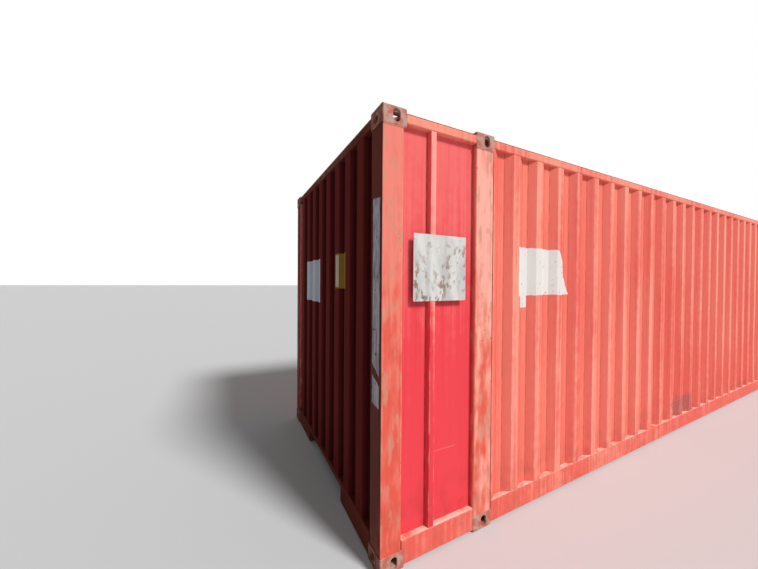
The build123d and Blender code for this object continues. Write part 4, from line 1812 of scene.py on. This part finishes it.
@dataclass(frozen=True)
class CarriedOver:
    """CAD pieces whose own shape is shown. Those not named here are door gear, or are replaced later."""

    finish_of: ClassVar[dict[str, str]] = {
        "floor": "plywood",
        "cross_members": "under",
        "inner_frame_bolsters": "under",
        "gooseneck_tunnel": "under",
        "door_gaskets": "rubber",
        "roof_cross_plates": "roof",
        "door_header": "rails",
        "door_sill": "rails",
    }

    def build(self, finishes: Finishes) -> None:
        """Give each piece its material.

        Args:
            finishes: Every material.
        """
        for name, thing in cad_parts.items():
            finish = getattr(finishes, self.finish_of.get(name, "gear"))
            thing.data.materials.clear()
            thing.data.materials.append(finish)
            logging.info("%s: CAD node in %s", name, finish.name)


@dataclass(frozen=True)
class Studio:
    """Camera at the photograph's angle, pale floor, soft key light and white surroundings."""

    place: Spot = (-7.681, -2.8174, 1.8185)
    yaw: float = 26.87
    pitch: float = -0.614
    roll: float = 0.394
    focal_pixels: float = 298.74
    picture_width: float = 758.0
    sensor: float = 36.0
    floor_reach: float = 120.0
    key_direction: Spot = (0.3, -0.65, 0.7)
    key_spread: float = 14.0
    key_strength: float = 3.1
    fill: float = 0.25

    def camera(self) -> None:
        """Set the camera where the photograph was taken from."""
        yaw, pitch, roll = (math.radians(angle) for angle in (self.yaw, self.pitch, self.roll))
        ahead = Vector((math.sin(yaw) * math.cos(pitch), math.cos(yaw) * math.cos(pitch), math.sin(pitch)))
        side = Vector((math.cos(yaw), -math.sin(yaw), 0))
        over = side.cross(ahead)
        right = side * math.cos(roll) + over * math.sin(roll)
        up = over * math.cos(roll) - side * math.sin(roll)
        data = bpy.data.cameras.new("photo_camera")
        data.sensor_width = self.sensor
        data.lens = self.focal_pixels / self.picture_width * self.sensor
        data.clip_end = 500.0
        camera = placed("photo_camera", data)
        turned = Matrix((right, up, -ahead)).transposed().to_4x4()
        camera.matrix_world = Matrix.Translation(self.place) @ turned
        bpy.context.scene.camera = camera

    def floor(self) -> None:
        """Wide pale floor."""
        data = bpy.data.meshes.new("studio_floor")
        reach = (-self.floor_reach, self.floor_reach)
        data.from_pydata([(x, y, 0) for x, y in rectangle(reach, reach)], [], [(0, 1, 2, 3)])
        data.materials.append(Surface("studio_floor_paper").shade("#d2d2d2", 0.9, Specular_IOR_Level=0.1))
        thing = placed("studio_floor", data)

    def light(self) -> None:
        """Soft key light from the long side, and surroundings that show white behind the object."""
        data = bpy.data.lights.new("key", "SUN")
        data.energy = self.key_strength
        data.angle = math.radians(self.key_spread)
        key = placed("key", data)
        key.matrix_world = Vector(self.key_direction).to_track_quat("Z", "Y").to_matrix().to_4x4()
        world = bpy.data.worlds.new("studio")
        world.use_nodes = True
        bpy.context.scene.world = world
        graph = Graph(world.node_tree)
        fill, white = (
            graph.add("Background", {"Color": (1, 1, 1, 1), "Strength": strength}).outputs[0]
            for strength in (self.fill, 1.0)
        )
        path = graph.add("LightPath").outputs
        seen = path["Is Camera Ray"]
        for kind in ("Is Glossy Ray", "Is Transmission Ray"):
            seen = graph.add("Math", {0: seen, 1: path[kind]}, operation="MAXIMUM").outputs[0]
        mix = graph.add("MixShader", {0: seen, 1: fill, 2: white}).outputs[0]
        graph.add("OutputWorld", {"Surface": mix})

    def build(self) -> None:
        """Camera, floor and light."""
        bpy.context.scene.view_settings.view_transform = "Standard"
        self.camera()
        self.floor()
        self.light()


def main() -> None:
    """Build the container's looks round the frame, then the studio."""
    logging.basicConfig(level=logging.INFO, format="%(message)s")
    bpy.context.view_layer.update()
    finishes = Finishes()
    for assembly in (
        CarriedOver(),
        Castings(),
        PostsAndRails(),
        SideWalls(),
        FrontWall(),
        Roof(),
        Doors(),
        PlateAndFilm(),
    ):
        assembly.build(finishes)
    Studio().build()


if __name__ == "__main__":
    main()
